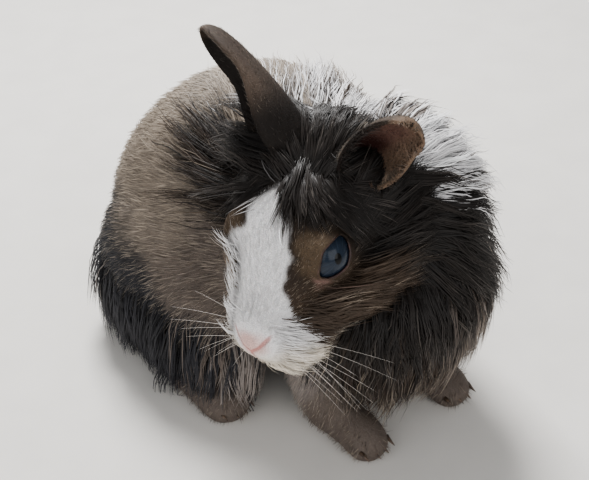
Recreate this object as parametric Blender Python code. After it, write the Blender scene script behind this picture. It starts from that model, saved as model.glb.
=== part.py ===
"""Lionhead rabbit, crouched with its head turned to its right: a still, life-size model.

Metres, +Z up. The rabbit faces -Y, its left side is +X, and its feet stand on z = 0.
"""

import math
import random
from collections import namedtuple

import bmesh
import bpy
import numpy as np
from mathutils import Matrix, Vector
from mathutils.bvhtree import BVHTree

# Gap that neighbouring pieces keep, and the one round the locks of the head
GAP = 0.0003
LOCK_GAP = 0.0010

# Rings and segments of the round forms
DETAIL = {
    "torso": (18, 22),
    "thigh": (14, 16),
    "hind_foot": (12, 12),
    "forearm": (10, 12),
    "paw": (10, 12),
    "tail": (10, 12),
    "head": (20, 22),
    "ball": (10, 16),
    "opening": (12, 18),
}

# Colour and roughness of every node
COATS = {
    "torso": ((0.21, 0.16, 0.12), 0.90),
    "neck_mane": ((0.17, 0.16, 0.16), 0.92),
    "head": ((0.30, 0.26, 0.24), 0.88),
    "ear_left": ((0.16, 0.11, 0.09), 0.80),
    "ear_right": ((0.18, 0.13, 0.10), 0.82),
    "eye_left": ((0.05, 0.08, 0.13), 0.08),
    "eye_right": ((0.05, 0.08, 0.13), 0.10),
    "foreleg_left": ((0.24, 0.20, 0.17), 0.90),
    "foreleg_right": ((0.24, 0.20, 0.17), 0.91),
    "hindleg_left": ((0.11, 0.10, 0.10), 0.90),
    "hindleg_right": ((0.11, 0.10, 0.10), 0.91),
    "tail": ((0.15, 0.13, 0.12), 0.92),
}
SHARP_ANGLE = math.radians(50)

# Torso stations, chest to rump: (y, low z, high z, half width)
TORSO = (
    (-0.076, 0.050, 0.050, 0.0),
    (-0.068, 0.026, 0.076, 0.029),
    (-0.048, 0.012, 0.094, 0.041),
    (-0.020, 0.008, 0.104, 0.048),
    (0.010, 0.006, 0.112, 0.053),
    (0.040, 0.006, 0.113, 0.055),
    (0.066, 0.008, 0.098, 0.047),
    (0.082, 0.018, 0.073, 0.030),
    (0.089, 0.044, 0.044, 0.0),
)

# Thigh and hind foot stations, with x measured from the leg's own middle
THIGH = (
    (-0.024, 0.034, 0.034, 0.0),
    (-0.013, 0.010, 0.058, 0.015),
    (0.010, 0.003, 0.076, 0.022),
    (0.038, 0.002, 0.080, 0.024),
    (0.062, 0.006, 0.064, 0.017),
    (0.074, 0.034, 0.034, 0.0),
)
THIGH_X = 0.040
HIND_FOOT = (
    (-0.024, 0.006, 0.006, 0.0),
    (-0.018, -0.003, 0.014, 0.0095),
    (-0.002, -0.003, 0.018, 0.0112),
    (0.032, -0.003, 0.018, 0.0100),
    (0.060, -0.003, 0.016, 0.0080),
    (0.068, 0.006, 0.006, 0.0),
)
HIND_FOOT_X = 0.049

# Foreleg: a short forearm over a forward paw
FOREARM = (
    (-0.056, 0.020, 0.020, 0.0),
    (-0.048, -0.003, 0.044, 0.0115),
    (-0.034, -0.003, 0.060, 0.0135),
    (-0.018, 0.030, 0.030, 0.0),
)
PAW = (
    (-0.072, 0.005, 0.005, 0.0),
    (-0.067, -0.003, 0.012, 0.0080),
    (-0.055, -0.003, 0.016, 0.0092),
    (-0.040, -0.003, 0.017, 0.0085),
    (-0.030, 0.006, 0.006, 0.0),
)
FORELEG_X = 0.022

# Tail: a short upturned puff in its own frame
TAIL = (
    (-0.008, 0.0, 0.0, 0.0),
    (0.003, -0.012, 0.012, 0.013),
    (0.014, -0.015, 0.015, 0.016),
    (0.026, 0.0, 0.0, 0.0),
)
TAIL_AT = (0.0, 0.083, 0.044)
TAIL_LIFT = math.radians(40)

# Head in its own frame, nose towards -Y, before it is turned on the neck
HEAD = (
    (-0.0415, -0.0080, -0.0080, 0.0),
    (-0.0390, -0.0168, 0.0002, 0.0072),
    (-0.0335, -0.0225, 0.0052, 0.0112),
    (-0.0240, -0.0252, 0.0118, 0.0150),
    (-0.0115, -0.0270, 0.0198, 0.0203),
    (0.0050, -0.0285, 0.0265, 0.0238),
    (0.0215, -0.0265, 0.0280, 0.0240),
    (0.0340, -0.0185, 0.0228, 0.0186),
    (0.0420, 0.0030, 0.0030, 0.0),
)
HEAD_AT = (-0.0357, -0.0450, 0.0930)
HEAD_YAW = math.radians(-74)
HEAD_PITCH = math.radians(25.5)
HEAD_ROLL = math.radians(-10.5)

# Soft swellings of the head: (centre x, y, z, reach, height), mirrored to the other side
SWELLINGS = (
    (0.0095, -0.0345, -0.0105, 0.0080, 0.0022),
    (0.0038, -0.0395, -0.0060, 0.0048, 0.0008),
    (0.0160, -0.0115, 0.0192, 0.0090, 0.0016),
    (0.0206, -0.0082, 0.0088, 0.0120, 0.0028),
    (0.0220, 0.0080, -0.0140, 0.0160, 0.0030),
    (0.0000, -0.0325, -0.0225, 0.0065, 0.0014),
)

# Locks of the head: (count, first and last root, lie, length, width, layer) in the head's frame
HEAD_LOCKS = (
    (5, (-0.008, 0.006, 0.030), (0.010, 0.008, 0.030), (0.35, -1.0, -0.3), 0.021, 0.0085, 0.0030),
    (4, (0.002, 0.012, 0.032), (0.018, 0.008, 0.027), (0.75, -0.9, -0.4), 0.025, 0.0090, 0.0045),
    (5, (0.030, 0.004, 0.010), (0.026, 0.004, -0.024), (0.1, 1.0, -0.35), 0.022, 0.0110, 0.0050),
    (4, (-0.030, 0.004, 0.008), (-0.026, 0.004, -0.020), (-0.1, 1.0, -0.25), 0.020, 0.0110, 0.0050),
    (4, (0.018, -0.004, -0.028), (-0.018, -0.002, -0.028), (0.0, 0.9, -0.7), 0.018, 0.0100, 0.0050),
    (5, (-0.021, 0.006, 0.020), (-0.013, 0.036, 0.018), (-1.0, 0.35, -0.2), 0.036, 0.0100, 0.0050),
)

HEAD_LOCK_THICK = 0.0026
HEAD_STAND = 0.45
ROOT_STRAY = 0.0015

# Creases of the nose and mouth on the head: (radius, points), mirrored where off the middle
CREASES = (
    (0.0009, ((0.0004, -0.0425, -0.0102), (0.0040, -0.0415, -0.0072), (0.0074, -0.0375, -0.0064))),
    (0.0007, ((0.0000, -0.0425, -0.0098), (0.0000, -0.0410, -0.0155))),
    (0.0008, ((0.0000, -0.0405, -0.0165), (0.0050, -0.0380, -0.0182), (0.0095, -0.0305, -0.0185))),
)

CREASE_POINTS = 6

# Eyes in the head's frame, and the lids over them
EYE_AT = (0.0148, -0.0082, 0.0078)
EYE_RADIUS = 0.0085
EYE_OUTWARD = (0.90, -0.28, 0.33)
LID_THICKNESS = 0.0011
EYE_OPENING = (0.0074, 0.0058, 0.0080)

# Ear stations along its length: (height, radius, half angle of the sheet round it)
EAR = (
    (-0.0060, 0.0070, 155),
    (0.0000, 0.0083, 140),
    (0.0080, 0.0101, 118),
    (0.0160, 0.0111, 94),
    (0.0250, 0.0112, 72),
    (0.0330, 0.0103, 70),
    (0.0390, 0.0083, 70),
    (0.0425, 0.0052, 70),
    (0.0440, 0.0020, 70),
)
EAR_ROWS = 11
EAR_COLUMNS = 9
EAR_THICKNESS = 0.0016

# Ears in the head's frame: base, pointing direction, facing of the cup, and shares of the
# stations' heights and radii, since the right ear is the more spread
EARS = {
    "left": ((0.0150, 0.0215, 0.0172), (0.749, -0.064, 0.658), (0.163, -0.945, -0.131), (0.90, 0.87)),
    "right": ((-0.0070, 0.0215, 0.0240), (-0.691, 0.248, 0.679), (-0.333, -0.943, 0.006), (1.04, 1.10)),
}

# Neck between the shoulders and the head
NECK_AT = (0.003, -0.037, 0.083)
NECK_SIZE = (0.035, 0.038, 0.038)

# Locks: how deep the root sits, length of a step, share of the width along the lock
SEED = 7
MANE_SEED = 400
ROOT_DEPTH = 0.006
LOCK_STEP = 0.0085
LOCK_PROFILE = ((0.0, 0.30, 0.60, 0.85, 1.0), (0.75, 1.0, 0.90, 0.52, 0.0))
LOCK_WIDTH = 0.0110
LOCK_THICK = 0.0032
LOCK_THINNING = 0.55
LOCK_UNDER = 0.3
EDGE_GROWTH = 3

# How locks lie: height of the spine over other pieces, height that counts as none, pull
# towards their layer, sway to the sides
CLEARANCE = 0.0018
TOUCHING = 0.00001
SETTLE = 0.85
SWAY = 0.25
DOWN = Vector((0.0, 0.0, -1.0))
Way = namedtuple("Way", "lie length stand droop layer")

# Collar behind the cheeks, in the head's frame, that the front rows of the mane grow from
COLLAR_AT = (0.0, 0.0225, -0.0040)
COLLAR_SIZE = (0.0300, 0.0130, 0.0300)
COLLAR_LIE = 0.5
FACE_AT = (0.0, -0.020, 0.0)
COLLAR_ROWS = ((-10, 19, 0.014), (32, 17, 0.013))

# Core of the bib on the chest, and its locks: even directions tried, length
BIB_AT = (-0.003, -0.062, 0.062)
BIB_SIZE = (0.036, 0.019, 0.024)
BIB_TRIES = 64
BIB_LENGTH = 0.028
BIB_FLARE = 0.3

# Mane: even directions tried over the neck, lock length, stand and droop, height over the body
MANE_TRIES = 150
MANE_LENGTH = 0.036
MANE_STAND = 0.35
MANE_DROOP = 1.0
MANE_LAYER = 0.0105

# Skirt of long wool along the thigh's lower edge
SKIRT_LOCKS = 16
SKIRT_LENGTH = 0.030
SKIRT_WIDTH = 0.0120
SKIRT_ROWS = (0.030, 0.042)
SKIRT_FROM = math.radians(-20)
SKIRT_TO = math.radians(60)
SKIRT_REACH = 0.05
SKIRT_FLARE = 0.3
SKIRT_STAND = 0.8
SKIRT_LAYER = 0.007

# Tail locks in rows: (place along the tail, count)
TAIL_ROWS = ((0.004, 7), (0.014, 5))
TAIL_REACH = 0.03
TAIL_LOCK = 0.015
TAIL_LOCK_WIDTH = 0.0085
TAIL_LOCK_THICK = 0.0026

# Least and most of a varied size, and how far roots keep from other pieces
VARIED = (0.82, 1.2)
ROOT_CLEAR = 0.001


def through(knots, values, at):
    """Smooth cubic through the values at the knots."""
    knots, values = np.asarray(knots, float), np.asarray(values, float)
    slopes = np.gradient(values, knots)
    i = int(np.clip(np.searchsorted(knots, at) - 1, 0, len(knots) - 2))
    span = knots[i + 1] - knots[i]
    t = (at - knots[i]) / span
    return (
        (2 * t**3 - 3 * t**2 + 1) * values[i]
        + (t**3 - 2 * t**2 + t) * span * slopes[i]
        + (3 * t**2 - 2 * t**3) * values[i + 1]
        + (t**3 - t**2) * span * slopes[i + 1]
    )


def form(stations, detail, grow=0.0, shift_x=0.0, floor=None):
    """Closed round form through the stations along Y, grown outwards by grow."""
    rings, segments = DETAIL[detail]
    bm = bmesh.new()
    bmesh.ops.create_uvsphere(bm, u_segments=segments, v_segments=rings, radius=1)
    ys, lows, highs, halves = np.array(stations, float).T
    for vert in bm.verts:
        y = ys[0] + (ys[-1] - ys[0]) * (vert.co.z + 1) / 2
        ring = math.hypot(vert.co.x, vert.co.y) or 1.0
        across, upward = vert.co.x / ring, vert.co.y / ring
        half = math.sqrt(max(0.0, through(ys, halves**2, y)))
        tall = math.sqrt(max(0.0, through(ys, ((highs - lows) / 2) ** 2, y)))
        middle = through(ys, (highs + lows) / 2, y)
        if abs(vert.co.z) > 0.99999:
            half = tall = 0.0
        vert.co = (shift_x + half * across, y, middle + tall * upward)
    tidy(bm, grow, floor)
    return bm


def ball(centre, size, grow=0.0, detail="ball"):
    """Ellipsoid with half axes of the given size, grown by grow."""
    rings, segments = DETAIL[detail]
    bm = bmesh.new()
    bmesh.ops.create_uvsphere(bm, u_segments=segments, v_segments=rings, radius=1)
    bm.transform(Matrix.Translation(centre) @ Matrix.Diagonal((*(s + grow for s in size), 1)))
    return bm


def face_out(bm):
    """Turns every face of a closed form outwards."""
    bmesh.ops.recalc_face_normals(bm, faces=bm.faces)
    if bm.calc_volume(signed=True) < 0:
        bmesh.ops.reverse_faces(bm, faces=bm.faces[:])
    bm.normal_update()


def tidy(bm, grow, floor=None):
    """Turns the faces out, grows the surface and keeps it on or above the floor."""
    face_out(bm)
    for vert in bm.verts:
        vert.co += vert.normal * grow
        if floor is not None:
            vert.co.z = max(vert.co.z, floor)


def frame_from(direction, facing, origin):
    """Matrix whose Z runs along the direction and whose Y looks away from the facing."""
    z_axis = Vector(direction).normalized()
    y_axis = -Vector(facing)
    y_axis = (y_axis - z_axis * y_axis.dot(z_axis)).normalized()
    x_axis = y_axis.cross(z_axis)
    turn = Matrix((x_axis, y_axis, z_axis)).transposed().to_4x4()
    return Matrix.Translation(origin) @ turn


def head_frame():
    """Matrix from the head's own frame to the model's."""
    turn = (
        Matrix.Rotation(HEAD_YAW, 4, "Z")
        @ Matrix.Rotation(HEAD_PITCH, 4, "X")
        @ Matrix.Rotation(HEAD_ROLL, 4, "Y")
    )
    return Matrix.Translation(HEAD_AT) @ turn


def swell(bm):
    """Raises the soft swellings of the head along its surface normals."""
    bm.normal_update()
    moves = []
    for vert in bm.verts:
        rise = 0.0
        for x, y, z, reach, height in SWELLINGS:
            for sign in (1, -1) if x else (1,):
                away = (vert.co - Vector((sign * x, y, z))).length
                rise += height * math.exp(-((away / reach) ** 2))
        moves.append(vert.normal * rise)
    for vert, move in zip(bm.verts, moves):
        vert.co += move


def head_form(grow=0.0):
    """The skull with its swellings, in the model's frame."""
    bm = skull()
    tidy(bm, grow)
    bm.transform(head_frame())
    return bm


def eye_centre(sign):
    """Centre of one eye in the model's frame."""
    return head_frame() @ Vector((sign * EYE_AT[0], EYE_AT[1], EYE_AT[2]))


def ear_form(side, grow=0.0):
    """Cupped ear: a rolled sheet, closed to a tube at its base and open above."""
    base, direction, facing, (longer, wider) = EARS[side]
    stations = np.array(EAR).T
    bm = bmesh.new()
    loops = []
    for row in np.linspace(0, len(EAR) - 1, EAR_ROWS):
        height, radius, spread = (np.interp(row, range(len(EAR)), values) for values in stations)
        top = longer * height + grow * row / (len(EAR) - 1)
        loops.append(ear_loop(bm, wider * radius, math.radians(spread), top, grow))
    for lower, upper in zip(loops, loops[1:]):
        for i in range(len(lower)):
            j = (i + 1) % len(lower)
            bm.faces.new((lower[i], lower[j], upper[j], upper[i]))
    for end in (loops[0], loops[-1]):
        cap_strip(bm, end)
    bm.transform(head_frame() @ frame_from(direction, facing, base))
    face_out(bm)
    return bm


def ear_loop(bm, radius, spread, height, grow):
    """One closed crescent across the ear: the outer arc and then the inner one."""
    thick = min(EAR_THICKNESS, radius / 2) + 2 * grow
    outer, inner = radius + grow, radius + grow - thick
    spread = min(spread + grow / radius, math.pi - 0.1)
    angles = [spread * (2 * i / (EAR_COLUMNS - 1) - 1) for i in range(EAR_COLUMNS)]
    points = [(outer * math.sin(a), outer * math.cos(a)) for a in angles]
    points += [(inner * math.sin(a), inner * math.cos(a)) for a in reversed(angles)]
    return [bm.verts.new((x, y - radius / 2, height)) for x, y in points]


def cap_strip(bm, loop):
    """Closes a crescent by faces between its two arcs."""
    half = len(loop) // 2
    for i in range(half - 1):
        bm.faces.new((loop[i], loop[i + 1], loop[-2 - i], loop[-1 - i]))


def paint(name):
    """Principled material of one node."""
    colour, roughness = COATS[name]
    material = bpy.data.materials.new(f"{name}_surface")
    material.use_nodes = True
    shader = material.node_tree.nodes["Principled BSDF"]
    shader.inputs["Base Color"].default_value = (*colour, 1.0)
    shader.inputs["Roughness"].default_value = roughness
    shader.inputs["Metallic"].default_value = 0.0
    return material


def node(name, bm):
    """Turns the bmesh into a named object with the node's own material."""
    mesh = bpy.data.meshes.new(name)
    bm.to_mesh(mesh)
    bm.free()
    mesh.materials.append(paint(name))
    obj = bpy.data.objects.new(name, mesh)
    bpy.context.scene.collection.objects.link(obj)
    return obj


def combine(obj, forms, operation):
    """Applies one Boolean of all the forms to the object and removes them."""
    group = bpy.data.collections.new(obj.name + "_forms")
    parts = []
    for i, bm in enumerate(forms):
        mesh = bpy.data.meshes.new(f"{obj.name}_form_{i}")
        bm.to_mesh(mesh)
        bm.free()
        part = bpy.data.objects.new(mesh.name, mesh)
        group.objects.link(part)
        parts.append(part)
    change = obj.modifiers.new("combine", "BOOLEAN")
    change.operand_type = "COLLECTION"
    change.collection = group
    change.operation = operation
    change.solver = "MANIFOLD"
    bpy.context.view_layer.update()
    result = bpy.data.meshes.new_from_object(obj.evaluated_get(bpy.context.evaluated_depsgraph_get()))
    obj.modifiers.remove(change)
    old, obj.data = obj.data, result
    result.name = obj.name
    bpy.data.meshes.remove(old)
    for part in parts:
        bpy.data.objects.remove(part)
    bpy.data.collections.remove(group)


def keep_largest(obj):
    """Keeps only the closed surface with the most volume."""
    bm = bmesh.new()
    bm.from_mesh(obj.data)
    left, best, best_size = set(bm.faces), [], -1.0
    while left:
        stack, shell = [left.pop()], []
        while stack:
            face = stack.pop()
            shell.append(face)
            for edge in face.edges:
                for other in edge.link_faces:
                    if other in left:
                        left.remove(other)
                        stack.append(other)
        corners = [[loop.vert.co for loop in face.loops] for face in shell]
        size = sum(c[0].dot(c[i].cross(c[i + 1])) for c in corners for i in range(1, len(c) - 1))
        if size > best_size:
            best, best_size = shell, size
    keep = set(best)
    bmesh.ops.delete(bm, geom=[face for face in bm.faces if face not in keep], context="FACES")
    bm.to_mesh(obj.data)
    bm.free()


def leg_piece(stations, detail, x, grow):
    """Leg form beside the middle, with a flat underside on the floor."""
    return form(stations, detail, grow, x, None if grow else 0.0)


def thigh_form(sign, grow=0.0):
    """Folded thigh beside the rump."""
    return leg_piece(THIGH, "thigh", sign * THIGH_X, grow)


def hind_foot_form(sign, grow=0.0):
    """Long hind foot flat on the floor."""
    return leg_piece(HIND_FOOT, "hind_foot", sign * HIND_FOOT_X, grow)


def forearm_form(sign, grow=0.0):
    """Short upright forearm."""
    return leg_piece(FOREARM, "forearm", sign * FORELEG_X, grow)


def paw_form(sign, grow=0.0):
    """Forward paw flat on the floor."""
    return leg_piece(PAW, "paw", sign * FORELEG_X, grow)


def tail_frame():
    """Matrix from the tail's own frame to the model's."""
    return Matrix.Translation(TAIL_AT) @ Matrix.Rotation(TAIL_LIFT, 4, "X")


def tail_form(grow=0.0):
    """Tail puff in the model's frame."""
    bm = form(TAIL, "tail", grow)
    bm.transform(tail_frame())
    return bm


def torso_form(grow=0.0):
    """Chest, back and rump."""
    return form(TORSO, "torso", grow)


def leg_cutters(grow=GAP):
    """Every leg, grown by the gap."""
    makers = (thigh_form, hind_foot_form, forearm_form, paw_form)
    return [make(sign, grow) for sign in (1, -1) for make in makers]


def eye_ball(sign, grow=0.0):
    """Eyeball, grown by grow."""
    return ball(eye_centre(sign), (EYE_RADIUS,) * 3, grow)


def head_cutters():
    """Head and lids, grown by the gap."""
    return [head_form(GAP)] + [eye_ball(sign, LID_THICKNESS + GAP) for sign in (1, -1)]


def ear_cutters():
    """Both ears, grown by the gap."""
    return [ear_form(side, GAP) for side in EARS]


def tree(bm):
    """Search tree over a form, which it frees."""
    found = BVHTree.FromBMesh(bm)
    bm.free()
    return found


def height_over(point, surface):
    """Signed distance of a point to the surface, and the push that lifts it off."""
    place, normal, _, away = surface.find_nearest(point)
    if away < TOUCHING:
        return 0.0, normal
    # the offset itself, since at an edge either face's normal may be found
    side = 1.0 if (point - place).dot(normal) > 0 else -1.0
    return side * away, (point - place) * (side / away)


def settle(point, surfaces, layer):
    """The point, drawn down to the layer over the nearest surface and pushed out of every one."""
    if layer:
        height, normal = min((height_over(point, surface) for surface in surfaces), key=lambda pair: pair[0])
        point = point - normal * max(0.0, height - layer) * SETTLE
    for surface in surfaces:
        height, normal = height_over(point, surface)
        point = point + normal * max(0.0, CLEARANCE - height)
    point.z = max(point.z, CLEARANCE)
    return point


def lock_path(root, outward, way, surfaces):
    """Points along a lock that leaves its root outwards and bends over to its lie."""
    steps = max(4, round(way.length / LOCK_STEP))
    points = [root - outward * ROOT_DEPTH]
    here = root.copy()
    for step in range(steps):
        t = step / (steps - 1)
        heading = outward * way.stand * (1 - t) + way.lie + DOWN * way.droop * t
        here = here + heading.normalized() * (way.length / steps)
        if step:
            here = settle(here, surfaces, way.layer)
        points.append(here.copy())
    for i in range(2, steps):
        points[i] = (points[i - 1] + 2 * points[i] + points[i + 1]) / 4
    return points


def lock(points, outward, width, thick, grow=0.0):
    """Flat tapered lock through the points: two edges and a ridge, closed at root and tip."""
    bm = bmesh.new()
    rings = []
    across = (points[-1] - points[0]).cross(outward)
    for i, point in enumerate(points[:-1]):
        along = (points[i + 1] - points[max(i - 1, 0)]).normalized()
        across = along_surface(across, along)
        rise = across.cross(along)
        t = i / (len(points) - 1)
        half = width / 2 * np.interp(t, *LOCK_PROFILE) + EDGE_GROWTH * grow
        high = thick * (1 - LOCK_THINNING * t)
        low = rise * -(LOCK_UNDER * high + grow)
        corners = (low - across * half, low + across * half, rise * ((1 - LOCK_UNDER) * high + grow))
        rings.append([bm.verts.new(point + corner) for corner in corners])
    tip = bm.verts.new(points[-1] + (points[-1] - points[-2]).normalized() * grow)
    for lower, upper in zip(rings, rings[1:]):
        for i in range(3):
            j = (i + 1) % 3
            bm.faces.new((lower[i], lower[j], upper[j], upper[i]))
    for i in range(3):
        bm.faces.new((rings[-1][i], rings[-1][(i + 1) % 3], tip))
    bm.faces.new(rings[0])
    bmesh.ops.triangulate(bm, faces=bm.faces[:], quad_method="FIXED")
    face_out(bm)
    return bm


def even_directions(count):
    """Unit vectors spread evenly over a sphere."""
    golden = math.pi * (3 - math.sqrt(5))
    for i in range(count):
        z = 1 - 2 * (i + 0.5) / count
        ring = math.sqrt(1 - z * z)
        yield Vector((ring * math.cos(golden * i), ring * math.sin(golden * i), z))


def along_surface(vector, outward):
    """The vector's part along a surface, at unit length."""
    flat = vector - outward * vector.dot(outward)
    return flat.normalized()


def collar_roots():
    """Places, outward ways, lies and layers round the collar, in the model's frame."""
    turn = head_frame()
    spin = turn.to_3x3()
    for latitude, count, layer in COLLAR_ROWS:
        back = math.radians(latitude)
        for i in range(count):
            around = math.tau * (i + back) / count
            ring = math.cos(back)
            way = Vector((math.cos(around) * ring, math.sin(back), math.sin(around) * ring))
            place, outward = on_ball(COLLAR_AT, COLLAR_SIZE, way)
            lie = Vector((way.x, COLLAR_LIE, way.z)).normalized()
            yield turn @ place, spin @ outward, spin @ lie, layer


def on_ball(centre, size, way):
    """Place on an ellipsoid in one direction, and its outward way there."""
    place = Vector(centre) + Vector([way[k] * size[k] for k in range(3)])
    return place, Vector([way[k] / size[k] for k in range(3)]).normalized()


def mane_roots():
    """Places, outward ways, lies, lengths and layers of every lock of the mane."""
    face = head_frame() @ Vector(FACE_AT)
    for root, outward, lie, layer in collar_roots():
        yield root, outward, lie, MANE_LENGTH, layer
    for direction in even_directions(MANE_TRIES):
        root, outward = on_ball(NECK_AT, NECK_SIZE, direction)
        yield root, outward, along_surface(root - face, outward), MANE_LENGTH, MANE_LAYER
    for direction in even_directions(BIB_TRIES):
        root, outward = on_ball(BIB_AT, BIB_SIZE, direction)
        lie = along_surface(DOWN + Vector((BIB_FLARE * outward.x, 0.0, 0.0)), outward)
        yield root, outward, lie, BIB_LENGTH, MANE_LAYER


def neck_core():
    """Neck, collar and chest core that the mane grows from."""
    collar = ball(COLLAR_AT, COLLAR_SIZE)
    collar.transform(head_frame())
    return [ball(NECK_AT, NECK_SIZE), collar, ball(BIB_AT, BIB_SIZE)]


def mane_locks():
    """Locks of the mane, away from the face all round the neck, and down the chest."""
    body = [tree(torso_form()), tree(head_form())]
    cores = [tree(bm) for bm in neck_core()]
    locks = []
    for i, (root, outward, lie, length, layer) in enumerate(mane_roots()):
        # each lock has its own draws, so that one left out changes no other
        rng = random.Random(MANE_SEED + i)
        if min(height_over(root, surface)[0] for surface in body) < ROOT_CLEAR:
            continue
        if min(height_over(root, surface)[0] for surface in cores) < -ROOT_CLEAR:
            continue
        lie = (lie + outward.cross(lie).normalized() * rng.uniform(-SWAY, SWAY)).normalized()
        droop = MANE_DROOP * (1 - max(0.0, outward.z))
        stand = MANE_STAND * rng.uniform(0.6, 1.2)
        way = Way(lie, length * rng.uniform(*VARIED), stand, droop, layer * rng.uniform(*VARIED))
        points = lock_path(root, outward, way, body + cores)
        locks.append(lock(points, outward, LOCK_WIDTH * rng.uniform(*VARIED), LOCK_THICK))
    return locks


def skirt_locks(sign):
    """Long wool along the lower outer edge of one thigh, down to the floor."""
    rng = random.Random(SEED + sign)
    surfaces = [tree(torso_form()), tree(thigh_form(sign)), tree(hind_foot_form(sign))]
    locks = []
    for i in range(SKIRT_LOCKS):
        t = (i + 0.5) / SKIRT_LOCKS
        swing = SKIRT_FROM + (SKIRT_TO - SKIRT_FROM) * t
        aim = Vector((sign * math.cos(swing), math.sin(swing), 0.0))
        start = Vector((sign * THIGH_X, THIGH[1][0] + (THIGH[-1][0] - THIGH[1][0]) * t, SKIRT_ROWS[i % 2]))
        root, outward, _, _ = surfaces[1].find_nearest(start + aim * SKIRT_REACH)
        lie = along_surface(aim * SKIRT_FLARE + DOWN, outward)
        way = Way(lie, SKIRT_LENGTH * rng.uniform(*VARIED), SKIRT_STAND, 0.0, SKIRT_LAYER)
        points = lock_path(root, outward, way, surfaces)
        locks.append(lock(points, outward, SKIRT_WIDTH * rng.uniform(*VARIED), LOCK_THICK))
    return locks


def tail_locks():
    """Wool of the tail, back over its tip."""
    rng = random.Random(SEED)
    puff = tree(tail_form())
    turn = tail_frame()
    backward = turn.to_3x3() @ Vector((0.0, 1.0, 0.0))
    locks = []
    for y, count in TAIL_ROWS:
        for i in range(count):
            around = math.tau * i / count
            start = turn @ Vector((TAIL_REACH * math.cos(around), y, TAIL_REACH * math.sin(around)))
            root, outward, _, _ = puff.find_nearest(start)
            length = TAIL_LOCK * rng.uniform(*VARIED)
            way = Way(along_surface(backward, outward), length, MANE_STAND, 0.0, None)
            points = lock_path(root, outward, way, [puff])
            locks.append(lock(points, outward, TAIL_LOCK_WIDTH, TAIL_LOCK_THICK))
    return locks


def skull():
    """The head's form in its own frame."""
    bm = form(HEAD, "head")
    swell(bm)
    return bm


def head_locks(grow=0.0):
    """Forelock, cheek wool, jaw ruff and wool of the crown, rooted on the skull."""
    rng = random.Random(SEED)
    turn = head_frame()
    spin = turn.to_3x3()
    surfaces = [tree(head_form()), tree(torso_form())]
    locks = []
    for count, first, last, lie, length, width, layer in HEAD_LOCKS:
        for i in range(count):
            start = Vector(first).lerp(Vector(last), (i + 0.5) / count)
            start += Vector([rng.uniform(-ROOT_STRAY, ROOT_STRAY) for _ in range(3)])
            root, outward, _, _ = surfaces[0].find_nearest(turn @ start)
            towards = Vector(lie) + Vector([rng.uniform(-SWAY, SWAY) for _ in range(3)])
            lying = along_surface(spin @ towards, outward)
            way = Way(lying, length * rng.uniform(*VARIED), HEAD_STAND, 0.0, layer * rng.uniform(*VARIED))
            points = lock_path(root, outward, way, surfaces)
            locks.append(lock(points, outward, width * rng.uniform(*VARIED), HEAD_LOCK_THICK, grow))
    return locks


def crease(points, radius):
    """Slender four-sided form through the points, pointed at both ends."""
    bm = bmesh.new()
    along = (points[-1] - points[0]).normalized()
    side = along.orthogonal().normalized()
    other = along.cross(side)
    ends = [bm.verts.new(points[0]), bm.verts.new(points[-1])]
    rings = []
    for point in points[1:-1]:
        rings.append([bm.verts.new(point + way * radius) for way in (side, other, -side, -other)])
    for lower, upper in zip(rings, rings[1:]):
        for i in range(4):
            bm.faces.new((lower[i], lower[(i + 1) % 4], upper[(i + 1) % 4], upper[i]))
    for ring, end in ((rings[0], ends[0]), (rings[-1], ends[1])):
        for i in range(4):
            bm.faces.new((ring[i], ring[(i + 1) % 4], end))
    bmesh.ops.triangulate(bm, faces=bm.faces[:], quad_method="FIXED")
    face_out(bm)
    return bm


def creases():
    """Nostril slits, the cleft below the nose and the line of the mouth."""
    surface = tree(skull())
    turn = head_frame()
    cuts = []
    for radius, knots in CREASES:
        ends = (1, -1) if knots[-1][0] else (1,)
        for sign in ends:
            path = []
            for at in np.linspace(0, 1, CREASE_POINTS):
                along = at * (len(knots) - 1)
                x, y, z = (np.interp(along, range(len(knots)), column) for column in zip(*knots))
                place, normal, _, _ = surface.find_nearest(Vector((sign * x, y, z)))
                lift = 0.2 * radius if 0 < at < 1 else radius
                path.append(turn @ (place + normal * lift))
            cuts.append(crease(path, radius))
    return cuts


def wool(name, locks, clear, bodies):
    """Node of locks, cut clear of its neighbours and then fused with the bodies they grow from."""
    obj = node(name, locks[0])
    combine(obj, locks[1:], "UNION")
    combine(obj, clear, "DIFFERENCE")
    combine(obj, bodies, "UNION")
    keep_largest(obj)
    return obj


def build_head():
    """Head with its wool, sockets, lids, nostrils and mouth."""
    lids = [eye_ball(sign, LID_THICKNESS) for sign in (1, -1)]
    head = wool("head", head_locks(), [torso_form(GAP)] + ear_cutters(), [head_form()] + lids)
    cuts = creases()
    for sign in (1, -1):
        outward = Vector((sign * EYE_OUTWARD[0], *EYE_OUTWARD[1:]))
        opening = ball((0, 0, EYE_RADIUS), EYE_OPENING, detail="opening")
        opening.transform(head_frame() @ frame_from(outward, (0, 0, -1), (sign * EYE_AT[0], *EYE_AT[1:])))
        cuts += [eye_ball(sign, GAP), opening]
    combine(head, cuts, "DIFFERENCE")
    keep_largest(head)


def build_torso():
    """Torso, cut clear of the legs, the head and the tail."""
    torso = node("torso", torso_form())
    combine(torso, leg_cutters() + head_cutters() + [tail_form(GAP)], "DIFFERENCE")
    keep_largest(torso)


def build_legs():
    """Hind legs with their skirts of wool, and forelegs."""
    for side, sign in (("left", 1), ("right", -1)):
        bodies = [thigh_form(sign), hind_foot_form(sign)]
        wool(f"hindleg_{side}", skirt_locks(sign), [torso_form(GAP)], bodies)
        foreleg = node(f"foreleg_{side}", forearm_form(sign))
        combine(foreleg, [paw_form(sign)], "UNION")


def build_ears():
    """Ears, cut clear of the head."""
    for side in EARS:
        ear = node(f"ear_{side}", ear_form(side))
        combine(ear, [head_form(GAP)], "DIFFERENCE")
        keep_largest(ear)


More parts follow.
